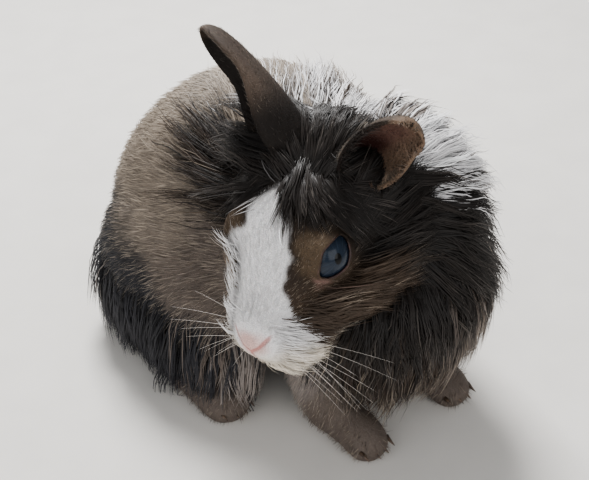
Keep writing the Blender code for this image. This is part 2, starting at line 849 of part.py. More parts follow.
def build_mane():
    """Neck with the mane, cut clear of everything round it."""
    core = neck_core()
    mane = node("neck_mane", core[0])
    combine(mane, core[1:] + mane_locks(), "UNION")
    clear = [torso_form(GAP)] + ear_cutters() + head_cutters() + head_locks(LOCK_GAP) + leg_cutters()
    combine(mane, clear, "DIFFERENCE")
    keep_largest(mane)


def centre_model():
    """Moves every node so that the model stands over the origin."""
    nodes = [obj for obj in bpy.context.scene.objects if obj.type == "MESH"]
    corners = [vert.co for obj in nodes for vert in obj.data.vertices]
    shift = [-(min(c[k] for c in corners) + max(c[k] for c in corners)) / 2 for k in (0, 1)]
    for obj in nodes:
        obj.data.transform(Matrix.Translation((*shift, 0.0)))


def smooth(obj):
    """Shades the round surfaces smooth and keeps the sharp edges."""
    obj.data.shade_smooth()
    obj.data.set_sharp_from_angle(angle=SHARP_ANGLE)


def main():
    """Builds every node."""
    for obj in list(bpy.data.objects):
        bpy.data.objects.remove(obj)
    build_torso()
    build_legs()
    build_ears()
    wool("tail", tail_locks(), [torso_form(GAP)] + leg_cutters(), [tail_form()])
    build_head()
    build_mane()
    for side, sign in (("left", 1), ("right", -1)):
        node(f"eye_{side}", eye_ball(sign))
    centre_model()
    for obj in bpy.context.scene.objects:
        smooth(obj)


main()
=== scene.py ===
"""Lionhead rabbit, dressed for the render: one skin, its coat, eyes, claws and whiskers.

Everything is worked out in the frame of the solids' named sizes, in metres, and is moved
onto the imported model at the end. The rabbit faces -Y, its left side is +X.
"""

import logging
import math
from dataclasses import dataclass
from enum import Enum

import bmesh
import bpy
import numpy as np
from mathutils import Matrix, Vector
from mathutils.bvhtree import BVHTree
from mathutils.kdtree import KDTree


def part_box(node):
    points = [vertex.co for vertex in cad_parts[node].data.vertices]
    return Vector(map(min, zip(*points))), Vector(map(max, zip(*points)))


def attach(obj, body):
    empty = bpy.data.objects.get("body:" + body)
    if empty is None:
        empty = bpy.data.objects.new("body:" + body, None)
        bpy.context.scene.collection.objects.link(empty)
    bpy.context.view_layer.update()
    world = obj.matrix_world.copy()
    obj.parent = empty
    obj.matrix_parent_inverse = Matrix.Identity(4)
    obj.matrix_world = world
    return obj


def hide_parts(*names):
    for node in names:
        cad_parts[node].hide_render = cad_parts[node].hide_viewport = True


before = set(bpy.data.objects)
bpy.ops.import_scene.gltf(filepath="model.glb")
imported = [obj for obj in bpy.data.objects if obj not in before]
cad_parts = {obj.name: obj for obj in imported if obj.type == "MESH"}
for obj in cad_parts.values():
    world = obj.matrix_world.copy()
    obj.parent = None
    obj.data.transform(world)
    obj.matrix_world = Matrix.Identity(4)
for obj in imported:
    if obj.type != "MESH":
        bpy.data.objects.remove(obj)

LOG = logging.getLogger("rabbit")
BODY = "root"
SEED = 11
UP = np.array((0.0, 0.0, 1.0))
BAKE_MAP = "OFBake"
BAKE_PATCH = 0.003


class Region(Enum):
    """Parts of the body that the coat differs on."""

    TORSO = 0
    THIGH = 1
    FOOT = 2
    FORELEG = 3
    TAIL = 4
    HEAD = 5
    NECK = 6
    COLLAR = 7
    BIB = 8
    EAR_LEFT = 9
    EAR_RIGHT = 10


class Shade(Enum):
    """Colours of the coat and skin as sRGB hex values."""

    WHITE = "#eceaea"
    CREAM = "#e3d8c6"
    FAWN = "#93826e"
    RUST = "#87705a"
    TAN = "#76644f"
    TICK = "#c2b4a2"
    TICKED = "#8a7f73"
    BROWN = "#4d4035"
    UMBER = "#362c25"
    BLACK = "#241f1c"
    SLATE = "#2b2b30"
    SMOKE = "#8d8580"
    GREY = "#6b615a"
    PINK = "#d8b0a8"
    ROSE = "#b3675f"
    EAR_SKIN = "#6b5149"
    # EAR_DEEP: red skin at the bottom of the ear's cup, darkened as painted shade
    EAR_DEEP = "#3b211e"
    EAR_HAIR = "#84705f"
    EAR_BACK = "#4b413a"


def linear(colour: str) -> np.ndarray:
    """Linear RGB of an sRGB hex colour.

    Args:
        colour: the colour as #rrggbb.

    Returns:
        Three linear values from 0 to 1.
    """
    srgb = np.array([int(colour[i : i + 2], 16) / 255 for i in (1, 3, 5)])
    return np.where(srgb <= 0.04045, srgb / 12.92, ((srgb + 0.055) / 1.055) ** 2.4)


TONE = {shade: linear(shade.value) for shade in Shade}


def unit(vectors: np.ndarray) -> np.ndarray:
    """The vectors at unit length."""
    return vectors / np.maximum(np.linalg.norm(vectors, axis=-1, keepdims=True), 1e-12)


def columns(x: np.ndarray | float, y: np.ndarray | float, z: np.ndarray | float) -> np.ndarray:
    """Vectors from their three parts, each an array or one number for all."""
    return np.column_stack(np.broadcast_arrays(x, y, z))


def along_surface(vectors: np.ndarray, normals: np.ndarray) -> np.ndarray:
    """The part of each vector along its surface, at unit length."""
    return unit(vectors - normals * (vectors * normals).sum(-1, keepdims=True))


def soft(values: np.ndarray, low: float, high: float) -> np.ndarray:
    """Smooth step from 0 at low to 1 at high."""
    t = np.clip((values - low) / (high - low), 0.0, 1.0)
    return t * t * (3 - 2 * t)


def mix(first: np.ndarray, second: np.ndarray, share: np.ndarray) -> np.ndarray:
    """Blend of two colours or vectors by a share for each point."""
    share = np.asarray(share)[..., None]
    return first * (1 - share) + second * share


def ripple(points: np.ndarray, size: float, seed: int) -> np.ndarray:
    """Smooth irregular waves over space.

    Args:
        points: places in metres.
        size: rough length of a wave in metres.
        seed: seed of the waves' directions.

    Returns:
        One value from about -1 to 1 for each point.
    """
    rng = np.random.default_rng(seed)
    ways = unit(rng.normal(size=(6, 3))) * rng.uniform(0.7, 1.6, (6, 1))
    turns = rng.uniform(0, 2 * math.pi, 6)
    return np.sin(points @ ways.T * (2 * math.pi / size) + turns).sum(1) / 3


def curve_through(knots: np.ndarray, values: np.ndarray, at: np.ndarray) -> np.ndarray:
    """Smooth cubic through the values at the knots.

    Args:
        knots: rising places.
        values: the value at each knot.
        at: places where the cubic is read.

    Returns:
        The cubic's value at each place.
    """
    slopes = np.gradient(values, knots)
    i = np.clip(np.searchsorted(knots, at) - 1, 0, len(knots) - 2)
    span = knots[i + 1] - knots[i]
    t = (at - knots[i]) / span
    return (
        (2 * t**3 - 3 * t**2 + 1) * values[i]
        + (t**3 - 2 * t**2 + t) * span * slopes[i]
        + (3 * t**2 - 2 * t**3) * values[i + 1]
        + (t**3 - t**2) * span * slopes[i + 1]
    )


# ---------------------------------------------------------------- forms of the body

HEAD_AT = Vector((-0.0357, -0.0450, 0.0930))
HEAD_FRAME = (
    Matrix.Translation(HEAD_AT)
    @ Matrix.Rotation(math.radians(-74), 4, "Z")
    @ Matrix.Rotation(math.radians(25.5), 4, "X")
    @ Matrix.Rotation(math.radians(-10.5), 4, "Y")
)
HEAD_TURN = np.array(HEAD_FRAME.to_3x3())
TAIL_FRAME = Matrix.Translation((0.0, 0.083, 0.044)) @ Matrix.Rotation(math.radians(40), 4, "X")
EYE_AT = (0.0148, -0.0082, 0.0078)
EYE_RADIUS = 0.0085
EYE_OUTWARD = (0.90, -0.28, 0.33)
# turn of the left eye's opening, from its low front corner up to its back corner
EYE_TILT = math.radians(22.5)
LID = 0.0011
# half sizes of the opening between the lids, how far its corners are drawn out, its lids' flatness
OPENING = (0.0067, 0.0050)
CORNER_DRAW = 0.16
LID_FLAT = 0.18
# places in the head's frame: tip of the nose, middle of its bare pad, ticked patch of the crown
NOSE_TIP = np.array((0.0, -0.0420, -0.0045))
NOSE_PAD = np.array((0.0, -0.0415, -0.0035))
CROWN_PATCH = np.array((0.010, 0.032, 0.018))
CROWN_PATCH_REACH = 0.009

TORSO = (
    (-0.076, 0.050, 0.050, 0.0),
    (-0.068, 0.026, 0.076, 0.029),
    (-0.048, 0.012, 0.094, 0.041),
    (-0.020, 0.008, 0.104, 0.048),
    (0.010, 0.006, 0.112, 0.053),
    (0.040, 0.006, 0.113, 0.055),
    (0.066, 0.008, 0.098, 0.047),
    (0.082, 0.018, 0.073, 0.030),
    (0.089, 0.044, 0.044, 0.0),
)
THIGH = (
    (-0.024, 0.034, 0.034, 0.0),
    (-0.013, 0.010, 0.058, 0.015),
    (0.010, 0.003, 0.076, 0.022),
    (0.038, 0.002, 0.080, 0.024),
    (0.062, 0.006, 0.064, 0.017),
    (0.074, 0.034, 0.034, 0.0),
)
HIND_FOOT = (
    (-0.024, 0.006, 0.006, 0.0),
    (-0.018, -0.003, 0.014, 0.0095),
    (-0.002, -0.003, 0.018, 0.0112),
    (0.032, -0.003, 0.018, 0.0100),
    (0.060, -0.003, 0.016, 0.0080),
    (0.068, 0.006, 0.006, 0.0),
)
FOREARM = (
    (-0.056, 0.020, 0.020, 0.0),
    (-0.048, -0.003, 0.044, 0.0115),
    (-0.034, -0.003, 0.060, 0.0135),
    (-0.018, 0.030, 0.030, 0.0),
)
PAW = (
    (-0.072, 0.005, 0.005, 0.0),
    (-0.067, -0.003, 0.012, 0.0080),
    (-0.055, -0.003, 0.016, 0.0092),
    (-0.040, -0.003, 0.017, 0.0085),
    (-0.030, 0.006, 0.006, 0.0),
)
TAIL = (
    (-0.008, 0.0, 0.0, 0.0),
    (0.003, -0.012, 0.012, 0.013),
    (0.014, -0.015, 0.015, 0.016),
    (0.026, 0.0, 0.0, 0.0),
)
SKULL = (
    (-0.0415, -0.0080, -0.0080, 0.0),
    (-0.0390, -0.0168, 0.0002, 0.0072),
    (-0.0335, -0.0225, 0.0052, 0.0112),
    (-0.0240, -0.0252, 0.0118, 0.0150),
    (-0.0115, -0.0270, 0.0198, 0.0203),
    (0.0050, -0.0285, 0.0265, 0.0238),
    (0.0215, -0.0265, 0.0280, 0.0240),
    (0.0340, -0.0185, 0.0228, 0.0186),
    (0.0420, 0.0030, 0.0030, 0.0),
)

# Soft swellings of the head: centre x, y, z, reach and height, mirrored to the other side
SWELLINGS = (
    (0.0095, -0.0345, -0.0105, 0.0080, 0.0022),
    (0.0038, -0.0395, -0.0060, 0.0048, 0.0008),
    (0.0160, -0.0115, 0.0192, 0.0090, 0.0016),
    (0.0206, -0.0082, 0.0088, 0.0120, 0.0028),
    (0.0220, 0.0080, -0.0140, 0.0160, 0.0030),
    (0.0000, -0.0325, -0.0225, 0.0065, 0.0014),
)


def facing_frame(along: Vector, lean: Vector) -> Matrix:
    """Turn whose Z runs along one way and whose Y leans to the other.

    Args:
        along: the way of Z.
        lean: the way that Y comes nearest to.

    Returns:
        The turn as a four by four matrix.
    """
    z_axis = along.normalized()
    y_axis = (lean - z_axis * lean.dot(z_axis)).normalized()
    return Matrix((y_axis.cross(z_axis), y_axis, z_axis)).transposed().to_4x4()


def to_head(points: np.ndarray) -> np.ndarray:
    """The points in the head's own frame."""
    return (points - np.array(HEAD_AT)) @ HEAD_TURN


def from_head(ways: np.ndarray) -> np.ndarray:
    """Directions of the head's own frame, turned to the model's."""
    return ways @ HEAD_TURN.T


def swelling(points: np.ndarray) -> np.ndarray:
    """How far the head's surface is raised at each of its points.

    Args:
        points: places in the head's own frame.

    Returns:
        Heights in metres.
    """
    rise = np.zeros(len(points))
    for x, y, z, reach, height in SWELLINGS:
        for sign in (1, -1) if x else (1,):
            away = np.linalg.norm(points - np.array((sign * x, y, z)), axis=1)
            rise += height * np.exp(-((away / reach) ** 2))
    return rise


def crown_patch(places: np.ndarray) -> np.ndarray:
    """How much of the ticked patch behind the left ear shows at places in the head's frame."""
    return np.exp(-((np.linalg.norm(places - CROWN_PATCH, axis=1) / CROWN_PATCH_REACH) ** 4))


def turned_out(bm: bmesh.types.BMesh) -> bmesh.types.BMesh:
    """Turns every face of a closed form outwards.

    Args:
        bm: the form, which is changed.

    Returns:
        The same bmesh.
    """
    bmesh.ops.recalc_face_normals(bm, faces=bm.faces)
    if bm.calc_volume(signed=True) < 0:
        bmesh.ops.reverse_faces(bm, faces=bm.faces[:])
    bm.normal_update()
    return bm


@dataclass(frozen=True)
class Form:
    """Round closed form of one part of the body, drawn in by its coat's depth.

    The stations give y, low z, high z and half width along the form.
    """

    region: Region
    stations: tuple
    depth: float
    side: float = 0.0
    turn: Matrix | None = None
    swollen: bool = False
    segments: int = 32
    rings: int = 36

    def build(self) -> bmesh.types.BMesh:
        """Shapes the form from a ball.

        Returns:
            The form as a closed bmesh in the model's frame.
        """
        bm = bmesh.new()
        bmesh.ops.create_uvsphere(bm, u_segments=self.segments, v_segments=self.rings, radius=1)
        ball = np.array([vert.co for vert in bm.verts])
        ys, lows, highs, halves = np.array(self.stations, float).T
        y = ys[0] + (ys[-1] - ys[0]) * (ball[:, 2] + 1) / 2
        ring = np.maximum(np.hypot(ball[:, 0], ball[:, 1]), 1e-9)
        half = np.sqrt(np.maximum(0.0, curve_through(ys, halves**2, y)))
        tall = np.sqrt(np.maximum(0.0, curve_through(ys, ((highs - lows) / 2) ** 2, y)))
        open_ = np.abs(ball[:, 2]) < 0.99999
        middle = curve_through(ys, (highs + lows) / 2, y)
        x = self.side + half * ball[:, 0] / ring * open_
        z = middle + tall * ball[:, 1] / ring * open_
        for vert, co in zip(bm.verts, np.column_stack((x, y, z))):
            vert.co = co
        turned_out(bm)
        if self.swollen:
            rises = swelling(np.array([vert.co for vert in bm.verts]))
            for vert, rise in zip(bm.verts, rises):
                vert.co += vert.normal * rise
            bm.normal_update()
        for vert in bm.verts:
            vert.co -= vert.normal * self.depth
        if self.turn is not None:
            bm.transform(self.turn)
        return bm


@dataclass(frozen=True)
class Ball:
    """Ellipsoid of the neck, drawn in by its coat's depth."""

    region: Region
    centre: tuple
    size: tuple
    depth: float
    turn: Matrix | None = None

    def build(self) -> bmesh.types.BMesh:
        """Stretches the ellipsoid from a ball.

        Returns:
            The ellipsoid as a closed bmesh in the model's frame.
        """
        bm = bmesh.new()
        bmesh.ops.create_uvsphere(bm, u_segments=28, v_segments=20, radius=1)
        sizes = [size - self.depth for size in self.size]
        bm.transform(Matrix.Translation(self.centre) @ Matrix.Diagonal((*sizes, 1)))
        if self.turn is not None:
            bm.transform(self.turn)
        return bm


@dataclass(frozen=True)
class Ear:
    """Cupped ear: a rolled sheet, closed to a tube at its base and open above."""

    region: Region
    base: tuple
    direction: tuple
    facing: tuple
    # shares of the stations' heights and radii
    longer: float
    wider: float
    # shade of the fur at the back of its base
    nape: Shade
    thickness: float = 0.0011
    rows: int = 30
    columns: int = 19
    # height, radius and half angle of the sheet round the ear
    stations: tuple = (
        (-0.0060, 0.0070, 155),
        (0.0000, 0.0083, 140),
        (0.0080, 0.0101, 118),
        (0.0160, 0.0111, 94),
        (0.0250, 0.0112, 72),
        (0.0330, 0.0103, 70),
        (0.0390, 0.0083, 70),
        (0.0425, 0.0052, 70),
        (0.0438, 0.0022, 70),
    )

    def place(self) -> Matrix:
        """Matrix whose Z runs along the ear and whose Y looks away from its cup."""
        turn = facing_frame(Vector(self.direction), -Vector(self.facing))
        return HEAD_FRAME @ Matrix.Translation(self.base) @ turn

    def local(self, points: np.ndarray) -> np.ndarray:
        """The points in the ear's frame, measured as if it had the stations' own size."""
        turn = self.place()
        inner = (points - np.array(turn.translation)) @ np.array(turn.to_3x3())
        return inner / (self.wider, self.wider, self.longer)

    def facing_back(self, normals: np.ndarray) -> np.ndarray:
        """How far each normal looks away from the cup, from -1 to 1."""
        return (normals @ np.array(self.place().to_3x3()))[:, 1]

    def build(self) -> bmesh.types.BMesh:
        """Bridges the ear's rings from base to tip.

        Returns:
            The ear as a closed bmesh in the model's frame.
        """
        heights, radii, spreads = np.array(self.stations).T * ((self.longer,), (self.wider,), (1.0,))
        knots = np.arange(len(heights), dtype=float)
        rows = np.linspace(0, knots[-1], self.rows)
        bm = bmesh.new()
        loops = []
        for row in rows:
            at = np.array([row])
            height, radius, spread = (
                float(curve_through(knots, values, at)[0]) for values in (heights, radii, spreads)
            )
            thick = min(self.thickness, radius / 2)
            angles = np.radians(spread) * np.linspace(-1, 1, self.columns)
            outer = [(radius * math.sin(a), radius * math.cos(a)) for a in angles]
            inner = [((radius - thick) * math.sin(a), (radius - thick) * math.cos(a)) for a in angles[::-1]]
            loops.append([bm.verts.new((x, y - radius / 2, height)) for x, y in outer + inner])
        for lower, upper in zip(loops, loops[1:]):
            bridge(bm, lower, upper)
        for ring in (loops[0], loops[-1]):
            for i in range(self.columns - 1):
                bm.faces.new((ring[i], ring[i + 1], ring[-2 - i], ring[-1 - i]))
        bm.transform(self.place())
        return turned_out(bm)


def closed(ring: list) -> list[tuple]:
    """Pairs of neighbours round a closed ring."""
    return list(zip(ring, ring[1:] + ring[:1]))


def bridge(bm: bmesh.types.BMesh, lower: list, upper: list) -> None:
    """Joins two closed rings of points by a band of faces.

    Args:
        bm: the bmesh that holds them.
        lower: points of one ring.
        upper: points of the other, as many.
    """
    pairs = closed(lower) + closed(upper)
    bmesh.ops.bridge_loops(bm, edges=[bm.edges.get(pair) or bm.edges.new(pair) for pair in pairs])


def both_sides(region: Region, stations: tuple, depth: float, side: float) -> tuple[Form, Form]:
    """The same form on the left and on the right."""
    return Form(region, stations, depth, side), Form(region, stations, depth, -side)


BODY_FORMS = (
    Form(Region.TORSO, TORSO, 0.0025, segments=44, rings=40),
    *both_sides(Region.THIGH, THIGH, 0.0020, 0.040),
    *both_sides(Region.FOOT, HIND_FOOT, 0.0010, 0.049),
    *both_sides(Region.FORELEG, FOREARM, 0.0010, 0.022),
    *both_sides(Region.FORELEG, PAW, 0.0010, 0.022),
    Form(Region.TAIL, TAIL, 0.0020, turn=TAIL_FRAME),
    Form(Region.HEAD, SKULL, 0.0010, turn=HEAD_FRAME, swollen=True, segments=56, rings=56),
    Ball(Region.NECK, (0.003, -0.037, 0.083), (0.035, 0.038, 0.038), 0.004),
    Ball(Region.COLLAR, (0.0, 0.0225, -0.0040), (0.0300, 0.0130, 0.0300), 0.004, HEAD_FRAME),
    Ball(Region.BIB, (-0.003, -0.062, 0.062), (0.036, 0.019, 0.024), 0.004),
)
EARS = (
    Ear(
        Region.EAR_LEFT, (0.0150, 0.0215, 0.0172), (0.749, -0.064, 0.658), (0.163, -0.945, -0.131),
        longer=0.90, wider=0.87, nape=Shade.TICKED,
    ),
    Ear(
        Region.EAR_RIGHT, (-0.0070, 0.0215, 0.0240), (-0.691, 0.248, 0.679), (-0.333, -0.943, 0.006),
        longer=1.04, wider=1.10, nape=Shade.BLACK,
    ),
)


def eye_centre(sign: int) -> Vector:
    """Centre of one eye in the model's frame."""
    return HEAD_FRAME @ Vector((sign * EYE_AT[0], EYE_AT[1], EYE_AT[2]))


def eye_frame(sign: int, outward: tuple) -> Matrix:
    """Frame of one eye whose Z looks outwards.

    Args:
        sign: 1 for the left eye, -1 for the right one.
        outward: the left eye's way out, in the head's frame.

    Returns:
        Matrix from the eye's frame to the model's.
    """
    turn = facing_frame(Vector((sign * outward[0], outward[1], outward[2])), Vector((0, 0, 1)))
    return HEAD_FRAME @ Matrix.Translation((sign * EYE_AT[0], EYE_AT[1], EYE_AT[2])) @ turn


def lid_frame(sign: int) -> Matrix:
    """Frame of one eye whose X runs along the opening between its lids."""
    return eye_frame(sign, EYE_OUTWARD) @ Matrix.Rotation(EYE_TILT * sign, 4, "Z")


def almond(x: float, y: float) -> tuple[float, float]:
    """A place on the unit disc, moved to the opening between the lids, in metres."""
    return x * OPENING[0] * (1 + CORNER_DRAW * abs(x) ** 3), y * OPENING[1] * (1 - LID_FLAT * abs(x))


# ---------------------------------------------------------------- mesh helpers


def new_object(name: str, data: bpy.types.ID) -> bpy.types.Object:
    """A linked object at the origin that shows a mesh, curve, light or camera."""
    obj = bpy.data.objects.new(name, data)
    bpy.context.scene.collection.objects.link(obj)
    return obj


def object_of(name: str, bm: bmesh.types.BMesh) -> bpy.types.Object:
    """Makes a linked object from a bmesh, which it frees.

    Args:
        name: the object's name.
        bm: its shape.

    Returns:
        The new object, at the origin.
    """
    mesh = bpy.data.meshes.new(name)
    bm.to_mesh(mesh)
    bm.free()
    return new_object(name, mesh)


def evaluated_mesh(obj: bpy.types.Object) -> bpy.types.Mesh:
    """A new mesh of the object as its modifiers or its curve's bevel leave it."""
    bpy.context.view_layer.update()
    return bpy.data.meshes.new_from_object(obj.evaluated_get(bpy.context.evaluated_depsgraph_get()))


def apply_modifiers(obj: bpy.types.Object) -> None:
    """Writes the object's modifiers into its mesh.

    Args:
        obj: the mesh object, which is changed.
    """
    done = evaluated_mesh(obj)
    obj.modifiers.clear()
    old, obj.data = obj.data, done
    done.name = obj.name
    bpy.data.meshes.remove(old)


def opened(obj: bpy.types.Object) -> bmesh.types.BMesh:
    """The object's mesh as a new bmesh."""
    bm = bmesh.new()
    bm.from_mesh(obj.data)
    return bm


def written(obj: bpy.types.Object, bm: bmesh.types.BMesh) -> None:
    """Writes the bmesh to the object's mesh and frees it."""
    bm.to_mesh(obj.data)
    bm.free()


def combine(obj: bpy.types.Object, forms: list[bmesh.types.BMesh], operation: str) -> None:
    """Applies a Boolean of each form to the object and removes the forms.

    Args:
        obj: the closed mesh object that changes.
        forms: closed forms in the same frame.
        operation: UNION or DIFFERENCE.
    """
    for bm in forms:
        other = object_of("form", bm)
        change = obj.modifiers.new("combine", "BOOLEAN")
        change.object = other
        change.operation = operation
        change.solver = "MANIFOLD"
        apply_modifiers(obj)
        bpy.data.objects.remove(other)


# ---------------------------------------------------------------- skin


@dataclass(frozen=True)
class Groove:
    """Line pressed into the face, in the head's own frame, mirrored where it leaves the middle."""

    points: tuple
    reach: float
    depth: float

    def press(self, places: np.ndarray) -> np.ndarray:
        """How deep the groove presses at each place.

        Args:
            places: points in the head's own frame.

        Returns:
            Depths in metres.
        """
        signs = (1, -1) if any(point[0] for point in self.points) else (1,)
        away = np.full(len(places), 1.0)
        for sign in signs:
            line = np.array(self.points) * (sign, 1, 1)
            for start, end in zip(line, line[1:]):
                way = end - start
                t = np.clip((places - start) @ way / (way @ way), 0, 1)[:, None]
                away = np.minimum(away, np.linalg.norm(places - start - t * way, axis=1))
        return self.depth * np.exp(-((away / self.reach) ** 2))


GROOVES = (
    # nostril slits, open at their outer ends
    Groove(
        ((0.0004, -0.0423, -0.0064), (0.0034, -0.0415, -0.0046), (0.0068, -0.0388, -0.0022)),
        0.0009, 0.0013,
    ),
    Groove(((0.0050, -0.0402, -0.0034), (0.0066, -0.0388, -0.0022)), 0.0011, 0.0010),
    # cleft from the nose to the lip
    Groove(((0.0, -0.0425, -0.0064), (0.0, -0.0422, -0.0130)), 0.0008, 0.0010),
    # line of the mouth under the lip pads
    Groove(((0.0, -0.0405, -0.0168), (0.0050, -0.0380, -0.0186), (0.0100, -0.0305, -0.0188)), 0.0009, 0.0016),
    # fold in front of the eye
    Groove(((0.0135, -0.0165, 0.0030), (0.0118, -0.0200, 0.0005)), 0.0016, 0.0006),
)


class Skin:
    """The one skin of the body, and what the coat asks of it."""

    # grain of the fused forms, reach of the finer faces round the mouth, rounds of smoothing
    VOXEL = 0.0014
    FACE_REACH = 0.019
    SMOOTHING = 6
    # middle of the finer faces, in the head's frame
    MOUTH = np.array((0.0, -0.0400, -0.0110))
    # how much larger than the eyes their sockets are, and how close to an eye the skin is bare
    SOCKET_GAP = 0.00015
    BARE_REACH = 0.0006

    def __init__(self) -> None:
        """Builds the skin and measures it."""
        self.obj = self.build()
        self.measure()

    def build(self) -> bpy.types.Object:
        """Fuses the forms, opens the eyes and presses the folds of the face.

        Returns:
            The skin as a mesh object in the model's frame.
        """
        bm = bmesh.new()
        lids = [self.eye_ball(sign, LID) for sign in (1, -1)]
        for form in [form.build() for form in BODY_FORMS] + lids:
            mesh = bpy.data.meshes.new("form")
            form.to_mesh(mesh)
            form.free()
            bm.from_mesh(mesh)
            bpy.data.meshes.remove(mesh)
        obj = object_of("skin", bm)
        remesh = obj.modifiers.new("fuse", "REMESH")
        remesh.mode = "VOXEL"
        remesh.voxel_size = self.VOXEL
        apply_modifiers(obj)
        self.soften(obj)
        combine(obj, [ear.build() for ear in EARS], "UNION")
        combine(obj, [self.eye_ball(sign, self.SOCKET_GAP) for sign in (1, -1)], "DIFFERENCE")
        combine(obj, [self.opening(sign) for sign in (1, -1)], "DIFFERENCE")
        self.refine(obj)
        self.press(obj)
        return obj

    @staticmethod
    def eye_ball(sign: int, grow: float) -> bmesh.types.BMesh:
        """Ball round one eye.

        Args:
            sign: 1 for the left eye, -1 for the right one.
            grow: how much larger it is than the eye.

        Returns:
            The ball in the model's frame.
        """
        bm = bmesh.new()
        bmesh.ops.create_uvsphere(bm, u_segments=48, v_segments=32, radius=EYE_RADIUS + grow)
        bm.transform(eye_frame(sign, EYE_OUTWARD))
        return bm

    @staticmethod
    def opening(sign: int) -> bmesh.types.BMesh:
        """Cutter for the opening between the lids, pointed at its inner and outer corner.

        Args:
            sign: 1 for the left eye, -1 for the right one.

        Returns:
            The closed cutter in the model's frame.
        """
        bm = bmesh.new()
        bmesh.ops.create_uvsphere(bm, u_segments=64, v_segments=24, radius=1)
        for vert in bm.verts:
            vert.co = (*almond(vert.co.x, vert.co.y), EYE_RADIUS + vert.co.z * 0.008)
        bm.transform(lid_frame(sign))
        return bm

    def soften(self, obj: bpy.types.Object) -> None:
        """Rounds the seams between the fused forms, least on the face.

        Args:
            obj: the skin, which is changed.
        """
        bm = opened(obj)
        places = to_head(np.array([vert.co for vert in bm.verts]))
        face = (places[:, 1] < 0.002) & (np.abs(places[:, 0]) < 0.03) & (places[:, 2] > -0.03)
        rest = [vert for vert, near in zip(bm.verts, face) if not near]
        for verts in [rest] * self.SMOOTHING + [bm.verts]:
            bmesh.ops.smooth_vert(
                bm, verts=verts, factor=0.5, use_axis_x=True, use_axis_y=True, use_axis_z=True
            )
        for vert in bm.verts:
            vert.co.z = max(vert.co.z, 0.0)
        written(obj, bm)

    def refine(self, obj: bpy.types.Object) -> None:
        """Gives the nose and mouth finer faces.

        Args:
            obj: the skin, which is changed.
        """
        bm = opened(obj)
        bmesh.ops.triangulate(bm, faces=bm.faces)
        for reach in (self.FACE_REACH, 0.6 * self.FACE_REACH):
            places = to_head(np.array([vert.co for vert in bm.verts]))
            near = np.linalg.norm(places - self.MOUTH, axis=1) < reach
            bm.verts.index_update()
            edges = [edge for edge in bm.edges if all(near[vert.index] for vert in edge.verts)]
            bmesh.ops.subdivide_edges(bm, edges=edges, cuts=1, smooth=0.0)
            bmesh.ops.triangulate(bm, faces=bm.faces)
        written(obj, bm)

    def press(self, obj: bpy.types.Object) -> None:
        """Presses the nostrils, the cleft and the mouth into the face.

        Args:
            obj: the skin, which is changed.
        """
        bm = opened(obj)
        bm.normal_update()
        places = to_head(np.array([vert.co for vert in bm.verts]))
        depth = np.zeros(len(places))
        for groove in GROOVES:
            depth = np.maximum(depth, groove.press(places))
        for vert, down in zip(bm.verts, depth):
            vert.co -= vert.normal * down
        written(obj, bm)

    def measure(self) -> None:
        """Reads the skin's points, normals, areas and regions."""
        mesh = self.obj.data
        mesh.calc_loop_triangles()
        count = len(mesh.vertices)
        self.points = np.empty(count * 3)
        mesh.vertices.foreach_get("co", self.points)
        self.points = self.points.reshape(-1, 3)
        self.normals = np.empty(count * 3, np.float32)
        mesh.vertex_normals.foreach_get("vector", self.normals)
        self.normals = self.normals.reshape(-1, 3).astype(float)
        self.triangles = np.empty(len(mesh.loop_triangles) * 3, np.int32)
        mesh.loop_triangles.foreach_get("vertices", self.triangles)
        self.triangles = self.triangles.reshape(-1, 3)
        a, b, c = (self.points[self.triangles[:, i]] for i in range(3))
        self.areas = np.linalg.norm(np.cross(b - a, c - a), axis=1) / 2
        self.tree = BVHTree.FromPolygons(self.points.tolist(), self.triangles.tolist())
        self.regions = self.sort_regions()
        away = [np.linalg.norm(self.points - np.array(eye_centre(sign)), axis=1) for sign in (1, -1)]
        self.bare = np.minimum(*away) < EYE_RADIUS + self.BARE_REACH

    def sort_regions(self) -> np.ndarray:
        """Finds the form whose surface is nearest to each point.

        Returns:
            The region's value for each point.
        """
        best = np.full(len(self.points), 1.0)
        regions = np.zeros(len(self.points), int)
        for form in BODY_FORMS + EARS:
            bm = form.build()
            tree = BVHTree.FromBMesh(bm)
            bm.free()
            away = np.array([tree.find_nearest(point)[3] for point in self.points.tolist()])
            nearer = away < best
            best[nearer] = away[nearer]
            regions[nearer] = form.region.value
        return regions

    def scatter(self, density: np.ndarray, count: int, rng: np.random.Generator) -> tuple:
        """Spreads points over the skin.

        Args:
            density: how thick the points are wanted at each skin point.
            count: how many points.
            rng: seeded generator.

        Returns:
            Places, normals, and the nearest skin point's index of each.
        """
        share = self.areas * density[self.triangles].mean(1)
        steps = (np.arange(count) + rng.random(count)) / count
        chosen = np.searchsorted(np.cumsum(share) / share.sum(), steps)
        chosen = np.minimum(chosen, len(share) - 1)
        u, v = rng.random((2, count))
        over = u + v > 1
        u[over], v[over] = 1 - u[over], 1 - v[over]
        corners = self.triangles[chosen]
        weights = np.column_stack((1 - u - v, u, v))[:, :, None]
        places = (self.points[corners] * weights).sum(1)
        normals = unit((self.normals[corners] * weights).sum(1))
        nearest = corners[np.arange(count), weights[:, :, 0].argmax(1)]
        return places, normals, nearest


# ---------------------------------------------------------------- markings


@dataclass(frozen=True)
class Patch:
    """Patch of the coat's pattern: its middle, how far it reaches, and its shade."""

    centre: tuple
    reach: float
    shade: Shade
    strength: float = 1.0


